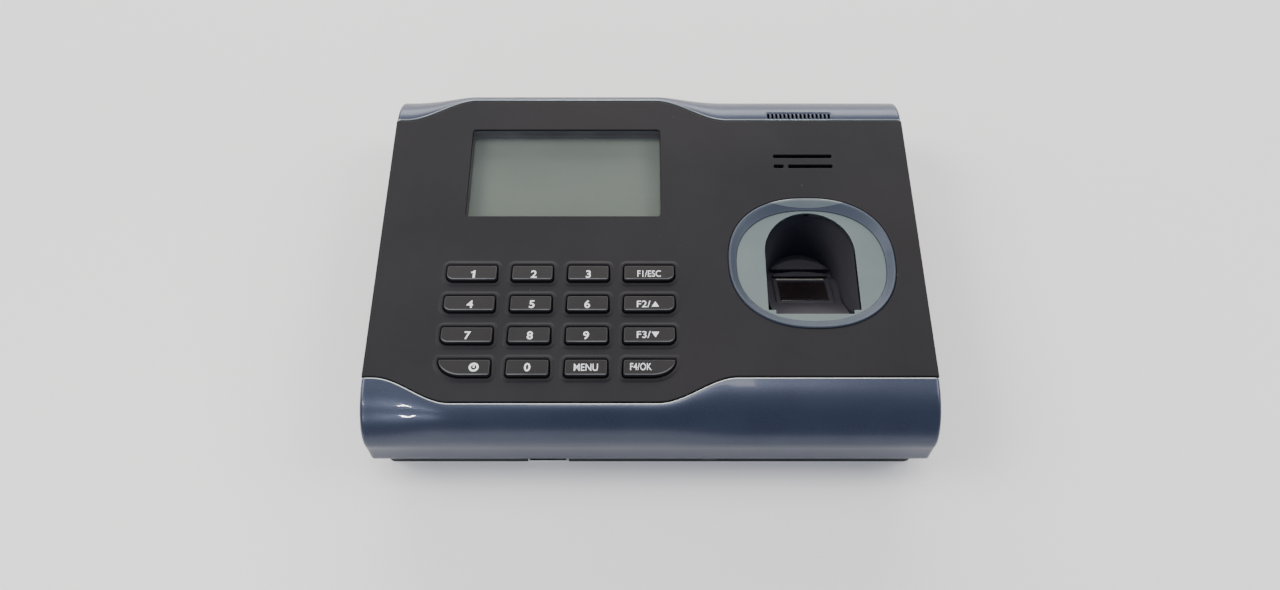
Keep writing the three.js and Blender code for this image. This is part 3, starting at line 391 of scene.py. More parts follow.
def metallicLacquer(name, colour, light, coat, rough=0.34, edge=None):
    # paint with fine flakes under a clear coat; edge is the attribute of its chamfer, where a lighter
    # colour is painted on as the chamfer's highlight
    look = Look(name, Coat_Roughness=0.03, Specular_IOR_Level=0.3, Coat_IOR=1.45)
    flakes = look.noise(0.3, 1, 0.4)
    blotch = look.noise(30, 3)
    scratch = look.noise(6, 4, 0.7, stretch=(0.06, 1, 1))
    share = look.band(flakes, 0.35, 0.75) * 0.5 + look.band(blotch, 0.3, 0.7) * 0.3
    base = look.mix(share, colour, light)
    metal = 0.55 + look.band(flakes, 0.3, 0.7) * 0.2
    if edge:
        # painted highlight: the marked chamfer is mixed to a light silver grey
        line = look.add("ShaderNodeAttribute", {"attribute_name": edge}, {}, "Fac")
        base = look.mix(line, base, (0.30, 0.33, 0.33))
    wear = rough + look.band(scratch, 0.5, 0.8) * 0.08
    coating = coat - look.band(scratch, 0.62, 0.8) * 0.15
    bump = look.bump(flakes, 0.004)
    return look.use(Base_Color=base, Roughness=wear, Metallic=metal, Coat_Weight=coating, Normal=bump)


def platedSteel(name, colour, rough):
    # bright zinc over rolled sheet: fine lines one way, and cloudy patches
    look = Look(name, Metallic=1.0)
    lines = look.noise(0.8, 4, 0.65, stretch=(0.05, 1, 1))
    cloud = look.noise(14, 4, 0.6)
    base = look.mix(look.band(cloud, 0.3, 0.7), tuple(c * 0.85 for c in colour), colour)
    wear = rough + (lines - 0.5) * 0.15 + (cloud - 0.5) * 0.12
    return look.use(Base_Color=base, Roughness=wear, Normal=look.bump(lines, 0.006))


def circuitBoard(name, colour):
    # green solder mask over copper tracks, which run as offset bricks, with plated holes
    look = Look(name, Specular_IOR_Level=0.5)
    bricks = {
        "Vector": look.place, "Scale": 260.0,
        "Mortar Size": 0.035, "Brick Width": 1.7, "Row Height": 0.22,
    }
    track = look.add("ShaderNodeTexBrick", {"offset": 0.37}, bricks, "Fac")
    dots = look.specks(3.1, 0.35)
    base = look.mix(track, colour, tuple(c * 2.1 for c in colour))
    base = look.mix(dots, base, (0.55, 0.42, 0.2))
    height = track * 0.6 + dots
    wear = 0.32 + look.noise(4, 3) * 0.15
    return look.use(Base_Color=base, Roughness=wear, Normal=look.bump(height, 0.05))


def clouded(name, colour, second, cloud, rough, rise, fine=None, depth=0.0, **constants):
    # two colours in soft clouds, whose share also raises the roughness; fine is a second,
    # smaller noise that stands out by depth, and without it the clouds stand out themselves
    look = Look(name, **constants)
    share = look.noise(*cloud)
    wear = rough + share * rise
    signals = {"Base_Color": look.mix(share, colour, second), "Roughness": wear}
    if depth:
        signals["Normal"] = look.bump(look.noise(*fine) if fine else share, depth)
    return look.use(**signals)


def inkedLegend(name, colour):
    # pad-printed ink with worn spots
    look = Look(name, Specular_IOR_Level=0.35)
    worn = look.band(look.noise(0.35, 4, 0.7), 0.58, 0.74)
    base = look.mix(worn * 0.55, colour, (0.2, 0.2, 0.21))
    return look.use(Base_Color=base, Roughness=0.5 + worn * 0.2)


def liquidCrystal(name):
    # grey-green reflective panel: a slow cloud under a fine lattice of cells
    look = Look(name, Specular_IOR_Level=0.5)
    cells = {
        "Vector": look.place, "Scale": 1000 / 0.52,
        "Mortar Size": 0.05, "Brick Width": 1.0, "Row Height": 1.0,
    }
    lattice = look.add("ShaderNodeTexBrick", {"offset": 0.0}, cells, "Fac")
    cloud = look.noise(45, 2)
    base = look.mix(cloud, (0.148, 0.178, 0.134), (0.182, 0.212, 0.162))
    base = look.mix(lattice * 0.12, base, (0.15, 0.18, 0.16))
    return look.use(Base_Color=base, Roughness=0.28 + cloud * 0.1)


def clearWindow(name):
    # acrylic: almost all light goes through; a grey base, partly faint haze and partly painted
    # reflection, shows more towards a glancing view, where the gloss grows too
    look = Look(name, Specular_IOR_Level=0.6)
    hazeAndSheen = look.noise(12, 4, 0.6)
    facing = look.add("ShaderNodeLayerWeight", {}, {"Blend": 0.25}, "Fresnel")
    # grey veil: partly haze, partly painted reflection
    base = look.mix(hazeAndSheen, (0.16, 0.165, 0.175), (0.22, 0.225, 0.235))
    alpha = 0.07 + look.band(hazeAndSheen, 0.45, 0.75) * 0.03 + facing * 0.3
    return look.use(Base_Color=base, Roughness=0.06 + hazeAndSheen * 0.06, Alpha=alpha)


def sensorPrism(name):
    # dark red-brown optical glass with greasy streaks across it
    look = Look(name, Specular_IOR_Level=0.6, Coat_Weight=0.5, Coat_Roughness=0.04)
    ridges = look.noise(2.6, 2, 0.5, stretch=(0.4, 1, 1))
    base = look.mix(ridges, (0.017, 0.012, 0.012), (0.022, 0.016, 0.015))
    return look.use(Base_Color=base, Roughness=0.1 + look.band(ridges, 0.4, 0.7) * 0.2)


def paintedTable(name):
    # the pale floor: off-white paint, faintly mottled
    look = Look(name, Specular_IOR_Level=0.3, Emission_Color=(1.0, 0.975, 0.935, 1),
                Emission_Strength=0.18)
    cloud = look.noise(160, 4)
    fine = look.noise(5, 4, 0.6)
    base = look.mix(cloud, (0.87, 0.845, 0.805), (0.91, 0.89, 0.855))
    base = look.mix(look.band(fine, 0.5, 0.8) * 0.12, base, (0.70, 0.69, 0.67))
    return look.use(Base_Color=base, Roughness=0.42 + fine * 0.1)


coverPlastic = mouldedPlastic("coverPlastic", (0.0112, 0.0103, 0.0122), 0.52)
casePlastic = mouldedPlastic("casePlastic", (0.016, 0.016, 0.018), 0.55, dust=0.12)
wellPlastic = mouldedPlastic("wellPlastic", (0.041, 0.041, 0.052), 0.5, dust=0.0)
keyPlastic = mouldedPlastic("keyPlastic", (0.0112, 0.0105, 0.0108), 0.5, dust=0.0, edge="edgeLine")
chipPlastic = mouldedPlastic("chipPlastic", (0.012, 0.012, 0.013), 0.45, grain=0.2, dust=0.0)
framePlastic = mouldedPlastic("framePlastic", (0.125, 0.120, 0.138), 0.5, dust=0.0)
# light grey that stands in for the bright highlight along the sensor glass's upper edge
highlightStripPlastic = mouldedPlastic("highlightStripPlastic", (0.34, 0.34, 0.32), 0.3, dust=0.0)
trimBlue, trimFlake = (0.044, 0.052, 0.080), (0.075, 0.088, 0.119)
trimLacquer = metallicLacquer("trimLacquer", trimBlue, trimFlake, edge="edgeLine", coat=0.2)
ringBlue, ringFlake = (0.074, 0.088, 0.112), (0.098, 0.112, 0.136)
ringLacquer = metallicLacquer("ringLacquer", ringBlue, ringFlake, coat=0.03, rough=0.58)
plateGrey, plateFlake = (0.138, 0.170, 0.164), (0.188, 0.222, 0.212)
plateLacquer = metallicLacquer("plateLacquer", plateGrey, plateFlake, coat=0.2, rough=0.45)
steel = platedSteel("zincSteel", (0.55, 0.56, 0.58), 0.32)
blackSteel = platedSteel("blackSteel", (0.035, 0.035, 0.038), 0.45)
socketSteel = platedSteel("socketSteel", (0.62, 0.62, 0.6), 0.25)
boardGreen = circuitBoard("boardGreen", (0.012, 0.09, 0.035))
rubber = clouded(
    "sealRubber", (0.022, 0.022, 0.024), (0.033, 0.033, 0.036), (8, 3), 0.62, 0.2,
    fine=(0.25, 3), depth=0.02, Specular_IOR_Level=0.35,
)
legendInk = inkedLegend("legendInk", (0.78, 0.79, 0.8))
crystal = liquidCrystal("liquidCrystal")
windowClear = clearWindow("windowClear")
prismGlass = sensorPrism("prismGlass")
lensFrost = clouded(
    "lensFrost", (0.125, 0.145, 0.15), (0.16, 0.185, 0.185), (7, 3), 0.32, 0.15,
    fine=(0.3, 2), depth=0.006, Specular_IOR_Level=0.5, Coat_Weight=0.4, Coat_Roughness=0.15,
)
contactGold = clouded(
    "contactGold", (0.75, 0.5, 0.18), (0.9, 0.66, 0.3), (0.6, 3), 0.2, 0.2, Metallic=1.0,
)
conePaper = clouded(
    "conePaper", (0.05, 0.05, 0.05), (0.11, 0.106, 0.1), (0.5, 5, 0.7, (1, 0.3, 1)), 0.8, 0.1,
    depth=0.04,
)
lampPlastic = {"Specular_IOR_Level": 0.6, "Coat_Weight": 0.6}
lampRed = clouded(
    "lampRed", (0.35, 0.012, 0.008), (0.63, 0.0216, 0.0144), (1.2, 2), 0.15, 0.15, **lampPlastic,
)
lampGreen = clouded(
    "lampGreen", (0.012, 0.25, 0.04), (0.0216, 0.45, 0.072), (1.2, 2), 0.15, 0.15, **lampPlastic,
)
blockGreen = mouldedPlastic("blockGreen", (0.02, 0.19, 0.06), 0.5, dust=0.0)
ribbonPlastic = mouldedPlastic("ribbonPlastic", (0.45, 0.42, 0.33), 0.5, dust=0.0)
print("finishes ready")

# The cover's joint lines with the trims run as they do in the frame.
faceLow, faceHigh = nodeBox("front_cover")
halfWidth, faceTop, coverFoot = faceHigh[0], faceHigh[2], faceLow[2]
lowerEdge = nodeBox("lower_trim")[0][1]
upperEdge = nodeBox("upper_trim")[1][1]
coverWall = 2.2
jointHalf = 0.15  # half of the gap in a joint line
# distances from the body's lower or upper edge to the joint line, and where its swings are
seams = {
    "lower": {
        "side": -1, "edge": lowerEdge, "atSides": 19.6, "atBulge": 11.1, "lean": 0.9, "drop": 14,
    },
    "upper": {
        "side": 1, "edge": upperEdge, "atSides": 15.7, "atBulge": 7.0, "lean": 0.8, "drop": 14,
    },
}
bulge = {"leftFrom": 3.5, "leftTo": 28, "rightFrom": 63, "rightTo": 88}


def seamLine(seam, x, shift=0.0):
    # y of a joint line at x, moved towards the trim by shift
    rise = smooth(x, -halfWidth + bulge["leftFrom"], -halfWidth + bulge["leftTo"])
    fall = smooth(x, halfWidth - bulge["rightTo"], halfWidth - bulge["rightFrom"])
    inset = seam["atSides"] + (seam["atBulge"] - seam["atSides"]) * (rise - fall)
    return seam["edge"] - seam["side"] * (inset - shift)


keyForm = {
    "flange": 0.8, "gap": 0.22, "corner": 0.85, "bigCorner": 2.3,
    "sweep": 7.5, "tip": 0.4, "tipBack": 0.15,
    "bevel": (0.28, 0.5), "sink": 0.03, "fall": 0.95, "digitHigh": 3.0, "wordHigh": 2.6,
    # inset, drop and edge mark round the bevel, in shares of its width and depth; the edge mark is
    # where a highlight is painted
    "sections": [
        (0.0, 1.0, 0), (0.12, 0.8, 0), (0.62, 0.26, 0), (0.7, 0.17, 1), (0.84, 0.06, 1),
        (1.0, 0.0, 1), (1.3, 0.0, 1), (1.45, 0.0, 0),
    ],
}
# each key's text, where the text's middle lies from the key's, the share of its own width it
# keeps, and the side of the key that is rounded (1) or swept away (2), minus for the left
keys = {
    "key_1": ("1", (0.5, -0.6), 1, -1), "key_2": ("2", (0.5, -0.6), 1, 0),
    "key_3": ("3", (0, -0.6), 1, 0), "key_f1_esc": ("F1/ESC", (0, -0.4), 0.74, 1),
    "key_4": ("4", (0.3, -0.35), 1, -1), "key_5": ("5", (0.4, -0.35), 1, 0),
    "key_6": ("6", (-0.1, -0.35), 1, 0), "key_f2_up": ("F2/", (-1.8, -0.3), 1, 1),
    "key_7": ("7", (0.4, -0.2), 1, -1), "key_8": ("8", (0.3, -0.2), 1, 0),
    "key_9": ("9", (-0.2, -0.2), 1, 0), "key_f3_down": ("F3/", (-1.8, 0.1), 1, 1),
    "key_power": ("", (3.2, 0.1), 1, -2), "key_0": ("0", (0, 0.1), 1, 0),
    "key_menu": ("MENU", (0, 0.05), 0.76, 0), "key_f4_ok": ("F4/OK", (-2.7, 0.3), 0.68, 2),
}


def sweptOutline(width, height, side, steps=14):
    # a bar whose lower corner on one side is swept away by a quarter ellipse
    angle = np.linspace(0, np.pi / 2, steps)
    sweep, tip = keyForm["sweep"], keyForm["tip"]
    curveX = width / 2 - sweep + sweep * np.sin(angle)
    curveY = height / 2 - tip - (height - tip) * np.cos(angle)
    corners = roundedBar(0, 0, width, height, [keyForm["corner"]] * 4, steps=5)
    upperTip = [[width / 2 - keyForm["tipBack"], height / 2]]
    # of the four corners only the two on the left are kept
    loop = np.concatenate([np.stack([curveX, curveY], axis=1), upperTip, corners[5:15]])
    return loop if side > 0 else (loop * [-1, 1])[::-1]


def keyOutline(name):
    middle, size = flatBox(name, keyForm["flange"])
    side = keys[name][3]
    if abs(side) == 2:
        return sweptOutline(*size, side) + middle
    small, big = keyForm["corner"], keyForm["bigCorner"]
    lower = [big if side == -1 else small, big if side == 1 else small]
    return roundedBar(*middle, *size, [small, small, *lower])


def keyTop(name, y):
    # the sloping top's plane at y: highest at the front, falling towards the back
    low, high = nodeBox(name)
    flange = keyForm["flange"]
    share = (y - low[1] - flange) / (high[1] - low[1] - 2 * flange)
    return high[2] - keyForm["sink"] - keyForm["fall"] * share


def keyCap(name):
    # side walls, a bevel that widens along the front, and a sloping top; the share of the
    # front in an edge point is f = eased (-normal y)
    foot = nodeBox(name)[0][2]
    loop = keyOutline(name)
    outward = unit(offsetLoop(loop, 1.0) - loop)
    front = smooth(-outward[:, 1:], 0.15, 0.85)
    narrow, wide = keyForm["bevel"]
    inset = narrow + (wide - narrow) * front
    depth = narrow + (wide * 1.15 - narrow) * front
    rings = [np.concatenate([loop, np.full((len(loop), 1), foot)], axis=1)]
    marks = [np.zeros(len(loop))]
    for across, down, mark in keyForm["sections"]:
        ring = offsetLoop(loop, -inset * across)
        rings.append(np.concatenate([ring, keyTop(name, ring[:, 1:]) - depth * down], axis=1))
        # the edge mark, strongest along the front, carries the painted highlight
        marks.append(mark * (0.25 + 0.75 * front[:, 0]))
    inner = rings[-1]
    for share in np.linspace(0, 1, 7)[1:]:
        ring = inner + (inner.mean(axis=0) - inner) * share
        ring[:, 2] = keyTop(name, ring[:, 1])
        rings.append(ring)
        marks.append(np.zeros(len(loop)))
    shell = Shell()
    shell.stack(np.stack(rings), mark=np.stack(marks))
    makePiece(name + "_cap", shell, keyPlastic, body=name, replaced=[name],
              attribute="edgeLine", sharp=50)


def textMesh(text):
    # a text object's outline as flat points and faces
    curve = bpy.data.curves.new("legend", "FONT")
    curve.body = text
    curve.offset = 0.02 if len(text) == 1 else 0.006
    curve.space_character = 1.02
    holder = newObject("legend", curve)
    flat = bpy.data.meshes.new_from_object(holder.evaluated_get(bpy.context.evaluated_depsgraph_get()))
    points = np.empty(len(flat.vertices) * 3)
    flat.vertices.foreach_get("co", points)
    faces = [list(p.vertices) for p in flat.polygons]
    bpy.data.objects.remove(holder)
    bpy.data.meshes.remove(flat)
    return points.reshape(-1, 3), faces


def inkPiece(name, flat, faces, key):
    # printed shapes laid on the key's sloping top, facing up
    height = keyTop(key, flat[:, 1:2]) + keyForm["sink"] * 0.7
    shell = Shell()
    shell.points = [np.concatenate([flat[:, :2], height], axis=1)]
    shell.marks, shell.faces = [np.zeros(len(flat))], faces
    return makePiece(name, shell, legendInk, body=key, solid=False)


def triangleMark(x, y, size, up):
    angle = fullTurn(3) + (np.pi / 2 if up else -np.pi / 2)
    return np.stack([x + size * np.cos(angle), y + size * np.sin(angle)], axis=1)


def ringMark(outer, inner, steps=32):
    turn = np.stack([np.cos(fullTurn(steps)), np.sin(fullTurn(steps))], axis=1)
    walk = np.arange(steps)
    after = np.roll(walk, -1)
    faces = np.stack([walk, after, after + steps, walk + steps], axis=1).tolist()
    return np.concatenate([outer * turn, inner * turn]), faces


def digitOne():
    # an upright with a flag, one unit high
    points = np.array([
        [0.2, 0], [0.44, 0], [0.44, 1], [0.26, 1], [0.18, 0.86], [0, 0.8], [0, 0.64], [0.2, 0.68],
    ])
    return points, [list(range(len(points)))]


# the power mark's ring and bar, and the arrow's size and place beside its letters
markForm = {
    "ring": (1.58, 0.9), "bar": [[-0.3, -0.2], [0.3, -0.2], [0.3, 0.7], [-0.3, 0.7]],
    "arrow": 1.4, "arrowAside": 3.75, "arrowShift": 0.35,
}


def keyLegend(name):
    text, shift, kept, _ = keys[name]
    middle = flatBox(name)[0] + shift
    if name == "key_power":
        flat, faces = ringMark(*markForm["ring"])
        faces.append(list(range(len(flat), len(flat) + 4)))
        flat = np.concatenate([flat, markForm["bar"]]) + middle
    else:
        points, faces = digitOne() if text == "1" else textMesh(text)
        low, high = points[:, :2].min(axis=0), points[:, :2].max(axis=0)
        scale = (keyForm["digitHigh"] if len(text) == 1 else keyForm["wordHigh"]) / (high - low)[1]
        flat = (points[:, :2] - (low + high) / 2) * scale
        flat = flat * [kept, 1] + middle
    if text.endswith("/"):
        up = name == "key_f2_up"
        place = middle + [markForm["arrowAside"], markForm["arrowShift"] * (-1 if up else 1)]
        faces = faces + [list(range(len(flat), len(flat) + 3))]
        flat = np.concatenate([flat, triangleMark(*place, markForm["arrow"], up)])
    inkPiece("legend_" + name[4:], flat, faces, name)


for keyName in keys:
    keyCap(keyName)
    keyLegend(keyName)
print("keys ready")

ringForm = {
    "flange": 1.5, "squareness": 2.3, "inner": (24.95, 20.9), "innerLower": 0.5,
}
ringLow, ringHigh = nodeBox("sensor_ring")
(sensorX, sensorY), ringSize = flatBox("sensor_ring", ringForm["flange"])
ringHalf = ringSize / 2
plateTop = nodeBox("sensor_plate")[1][2]


def ringOuter():
    return oval(sensorX, sensorY, *ringHalf, ringForm["squareness"])


def ringInner():
    return oval(sensorX, sensorY - ringForm["innerLower"], *ringForm["inner"], ringForm["squareness"])


# the bezel's section: share of the way from the outer outline to the inner one, and height
ringSection = np.array([
    [0.0, ringLow[2]], [0.0, faceTop - 0.25], [0.02, faceTop - 0.02], [0.05, faceTop + 0.16],
    [0.1, faceTop + 0.31], [0.16, ringHigh[2]], [0.22, faceTop + 0.35], [0.3, faceTop + 0.19],
    [0.4, faceTop - 0.05], [0.55, faceTop - 0.41], [0.7, faceTop - 0.77], [0.85, faceTop - 1.13],
    [0.93, faceTop - 1.3], [0.97, faceTop - 1.37], [1.0, faceTop - 1.5], [1.0, ringLow[2]],
])


def sensorRing():
    # the section swept between two ovals, closed underneath
    share, height = ringSection[:, 0, None, None], ringSection[:, 1, None, None]
    flat = ringOuter()[None] * (1 - share) + ringInner()[None] * share
    height = np.broadcast_to(height, flat.shape[:2] + (1,))
    shell = Shell()
    rings = np.concatenate([flat, height], axis=2)
    shell.grid(np.concatenate([rings, rings[:1]]), closed=True)
    makePiece("sensor_bezel", shell, ringLacquer, replaced=["sensor_ring"], sharp=40)


lensForm = {
    "reach": 13.2, "sag": 65.0, "below": 21.2, "proud": 0.07, "sunk": 0.5, "columns": 49, "rows": 9,
    "aside": 0.12, "tipWide": 0.25, "shoulder": 0.12,
}


def statusLens():
    # a crescent between the bezel's outer oval and an arc, lying on the bezel's own section
    reach, aside, shoulder = lensForm["reach"], lensForm["aside"], lensForm["shoulder"]
    x = np.linspace(-reach, reach, lensForm["columns"])
    share = np.linspace(0, 1, lensForm["rows"])[:, None]

    def ovalTop(half, middle):
        n = ringForm["squareness"]
        return middle + half[1] * (1 - np.abs(x / half[0]) ** n) ** (1 / n)

    outerY = ovalTop(ringHalf, sensorY)
    innerY = ovalTop(ringForm["inner"], sensorY - ringForm["innerLower"])
    arcCentre = sensorY + lensForm["below"] + lensForm["sag"]
    arcY = arcCentre - np.sqrt(lensForm["sag"] ** 2 - x * x)
    arcY = np.minimum(arcY, outerY - lensForm["tipWide"])
    y = outerY - aside + (arcY - outerY + aside) * share
    z = np.interp((outerY - y) / (outerY - innerY), ringSection[1:-1, 0], ringSection[1:-1, 1])
    ends = 1 - (np.abs(x) / reach) ** 8
    z = z + lensForm["proud"] * np.sin(np.pi * np.clip(share, shoulder, 1 - shoulder)) ** 0.5 * ends
    top = np.stack([np.broadcast_to(sensorX + x, y.shape), y, z], axis=2)
    makePiece("status_crescent", sheetShell(top, lensForm["sunk"]), lensFrost,
              replaced=["status_lens"])


archForm = {
    "halfWidth": 15.1, "top": 19.4, "bottom": 18.6, "stepWide": 2.4, "stepHigh": 1.4,
    "footHalfWidth": 12.0, "lip": 0.22,
}
wellForm = {
    "floor": 8.5, "below": 0.4, "mouth": 30.0, "underPlate": 0.5, "wall": 1.2, "levels": 18,
    # the ramp's turning points: along Y from the ring's centre, and height
    "ramp": [(-18.6, 30.0), (-7.0, 16.7), (5.0, 10.6), (6.8, 8.5)],
    "rampStart": (0.2, -0.6), "inset": 2.5, "thick": 1.0, "turnReach": 2.2, "turnShare": 0.45,
}


def archOutline(halfWidth, top, steps=40, sideSteps=10):
    # round top, straight sides and a small step at each lower corner
    angle = np.linspace(0, np.pi, steps)
    dome = np.stack([halfWidth * np.cos(angle), top - halfWidth + halfWidth * np.sin(angle)], axis=1)
    low, wide = -archForm["bottom"], halfWidth - archForm["stepWide"]
    step = low + archForm["stepHigh"]
    feet = [[-halfWidth, step], [-wide, step], [-wide, low],
            [wide, low], [wide, step], [halfWidth, step]]
    sideY = np.linspace(top - halfWidth, step, sideSteps + 2)[1:-1]
    leftSide = np.stack([np.full(sideSteps, -halfWidth), sideY], axis=1)
    rightSide = (leftSide * [-1, 1])[::-1]
    return np.concatenate([dome, leftSide, feet, rightSide]) + [sensorX, sensorY]


def sensorPlate():
    arch = archOutline(archForm["halfWidth"], archForm["top"])
    low = nodeBox("sensor_plate")[0][2]
    shell = plateShell(
        offsetLoop(ringInner(), -0.05), [arch],
        lipProfile(0.12, plateTop, low, outer=True, guard=0.03),
        [lipProfile(archForm["lip"], plateTop, low, guard=0.04)],
    )
    makePiece("sensor_fascia", shell, plateLacquer, replaced=["sensor_plate"])


def fingerWell():
    # walls that lean in towards a narrower foot, then the ramp between them
    top, floor, mouth = plateTop - wellForm["underPlate"], wellForm["floor"], wellForm["mouth"]
    inner, outer = [], []
    for z in np.linspace(top, floor - wellForm["below"], wellForm["levels"]):
        lean = np.clip((mouth - z) / (mouth - floor), 0, 1)
        half = archForm["halfWidth"] + (archForm["footHalfWidth"] - archForm["halfWidth"]) * lean
        arch = archOutline(half, archForm["top"] - (archForm["halfWidth"] - half))
        height = np.full((len(arch), 1), z)
        inner.append(np.concatenate([arch, height], axis=1))
        outer.append(np.concatenate([offsetLoop(arch, wellForm["wall"]), height], axis=1))
    shell = Shell()
    shell.grid(np.stack(inner + outer[::-1] + inner[:1]), closed=True)
    makePiece("well_walls", shell, wellPlastic, replaced=["finger_well"], sharp=50)
    ramp()


def ramp():
    # a section of straight runs with rounded turns, drawn out along X and given thickness;
    # each turn is a curve of (1 - t)^2 first + 2 t (1 - t) turn + t^2 last
    turns = np.array(wellForm["ramp"]) + [sensorY, 0]
    section = [turns[0] + wellForm["rampStart"]]
    t = np.linspace(0, 1, 9)[:, None]
    for before, turn, after in zip(turns[:-2], turns[1:-1], turns[2:]):
        back, ahead = np.linalg.norm(before - turn), np.linalg.norm(after - turn)
        ease = min(wellForm["turnReach"], back * wellForm["turnShare"], ahead * wellForm["turnShare"])
        first = turn + (before - turn) / back * ease
        last = turn + (after - turn) / ahead * ease
        section.extend((1 - t) ** 2 * first + 2 * t * (1 - t) * turn + t * t * last)
    section = np.array([*section, turns[-1], [sensorY + archForm["top"], wellForm["floor"]]])
    half = archForm["halfWidth"] - wellForm["inset"]
    x = np.linspace(-half, half, 9)[None, :] + sensorX
    grid = np.stack(np.broadcast_arrays(x, section[:, :1], section[:, 1:]), axis=2)
    shell = sheetShell(grid, wellForm["thick"])
    makePiece("well_ramp", shell, wellPlastic, sharp=50)


def tilted(block):
    # from a flat drawing at the glass's middle to the ramp's slope
    (y1, z1), (y2, z2) = wellForm["ramp"][1:3]
    slope = math.atan2(z1 - z2, y2 - y1)
    middle = np.array([sensorX, sensorY + (y1 + y2) / 2, (z1 + z2) / 2])
    cos, sin = math.cos(slope), math.sin(slope)
    x, y, z = np.moveaxis(block, -1, 0)
    return np.stack([x, y * cos + z * sin, z * cos - y * sin], axis=-1) + middle


# width, height and corner radius of each outline on the slope, then the upper edge's radius;
# top and foot are heights over the slope
glassForm = {
    "prism": ((16.6, 11.2), 0.4, 0.16), "prismTop": 0.18, "prismFoot": -1.2,
    "frame": ((20.2, 14.6), 1.2, 0.3), "opening": ((16.9, 11.5), 0.5, 0.25),
    "frameTop": 0.42, "frameFoot": -0.6,
    "strip": ((17.0, 0.5), 0.2, 0.12), "stripPlace": (-0.4, 6.35), "stripTop": 0.72, "stripFoot": 0.2,
}


def sensorGlass():
    # a polished block with a raised frame round it, and a light grey strip along its upper side that is
    # a painted highlight of the glass's edge
    def outline(part, steps, place=(0, 0)):
        size, corner, edge = glassForm[part]
        return roundedBar(*place, *size, [corner] * 4, steps=steps), edge

    loop, edge = outline("prism", 4)
    prism = slabShell(loop, glassForm["prismTop"], glassForm["prismFoot"], edge)
    top, foot = glassForm["frameTop"], glassForm["frameFoot"]
    (loop, edge), (hole, holeEdge) = outline("frame", 5), outline("opening", 5)
    profiles = lipProfile(edge, top, foot, outer=True), [lipProfile(holeEdge, top, foot)]
    rim = plateShell(loop, [hole], *profiles)
    loop, edge = outline("strip", 4, glassForm["stripPlace"])
    strip = slabShell(loop, glassForm["stripTop"], glassForm["stripFoot"], edge)
    for shell in (prism, rim, strip):
        shell.points = [tilted(block) for block in shell.points]
    makePiece("sensor_prism", prism, prismGlass, replaced=["sensor_glass"])
    makePiece("prism_frame", rim, wellPlastic)
    makePiece("prism_highlight_strip", strip, highlightStripPlastic)


def archedBar(halfWidth, front, back, rise, steps=33):
    # a bar whose back edge is an arc: y = back + rise * (1 - (x / halfWidth)^2)
    x = np.linspace(halfWidth, -halfWidth, steps)
    arc = np.stack([x, back + rise * (1 - (x / halfWidth) ** 2)], axis=1)
    return np.concatenate([arc, [[-halfWidth, front], [halfWidth, front]]]) + [sensorX, sensorY]


# each step's half width, front, back and rise of the back, then its top
stopForm = {"steps": [((10.4, 9.2, 9.7, 4.0), 10.9), ((9.6, 6.7, 7.6, 1.3), 10.2)], "edge": 0.45}


def fingerStop():
    # two low steps behind the glass, with curved back edges
    foot = wellForm["floor"] - wellForm["below"]
    for number, (outline, top) in enumerate(stopForm["steps"], 1):
        shell = slabShell(archedBar(*outline), top, foot, stopForm["edge"])
        makePiece("finger_stop_%d" % number, shell, wellPlastic, sharp=60)


sensorRing()
statusLens()
sensorPlate()
fingerWell()
sensorGlass()
fingerStop()
print("sensor ready")

coverForm = {
    "lip": 0.4, "windowFlange": 1.8, "windowCorner": 1.3, "windowLip": 0.2,
    "ringGap": 0.12, "ringLip": 0.25, "keyLip": 0.6, "keyRim": 0.3, "rimWide": 1.2,
}
speakerY = flatBox("speaker_gasket")[0][1]
slotForm = {
    "length": 20.5, "high": 1.3, "pitch": 4.2, "bridgeFrom": 3.4, "bridgeWide": 1.6, "lip": 0.22,
}


def coverOutline():
    # the two joint lines, joined by the straight sides
    x = np.linspace(-halfWidth, halfWidth, 241)
    low = np.stack([x, seamLine(seams["lower"], x, -jointHalf)], axis=1)
    high = np.stack([x, seamLine(seams["upper"], x, -jointHalf)], axis=1)[::-1]
    return np.concatenate([low, high])


def rimmedLip(top, bottom):
    # a soft raised rim round an opening, then a rounded edge and straight down
    wide, rise, radius = coverForm["rimWide"], coverForm["keyRim"], coverForm["keyLip"]
    share = np.linspace(0, 1, 7)
    ring = [(radius + wide + 0.08, top)]
    ring += [(radius + wide * (1 - s), top + rise * s * s * (3 - 2 * s)) for s in share]
    for angle in np.linspace(0, np.pi / 2, 7)[1:]:
        ring.append((radius * (1 - math.sin(angle)), top + rise - radius * (1 - math.cos(angle))))
    return ring + [(0, bottom)]


def speakerSlots():
    # the lower slot has a bridge near its left end
    start = sensorX - slotForm["length"] / 2
    end = start + slotForm["length"]
    gapStart = start + slotForm["bridgeFrom"]
    gapEnd = gapStart + slotForm["bridgeWide"]
    runs = [(start, end, 0.5), (start, gapStart, -0.5), (gapEnd, end, -0.5)]
    high, pitch = slotForm["high"], slotForm["pitch"]
    return [
        roundedBar((a + b) / 2, speakerY + row * pitch, b - a, high, [high * 0.3] * 4, steps=4)
        for a, b, row in runs
    ]


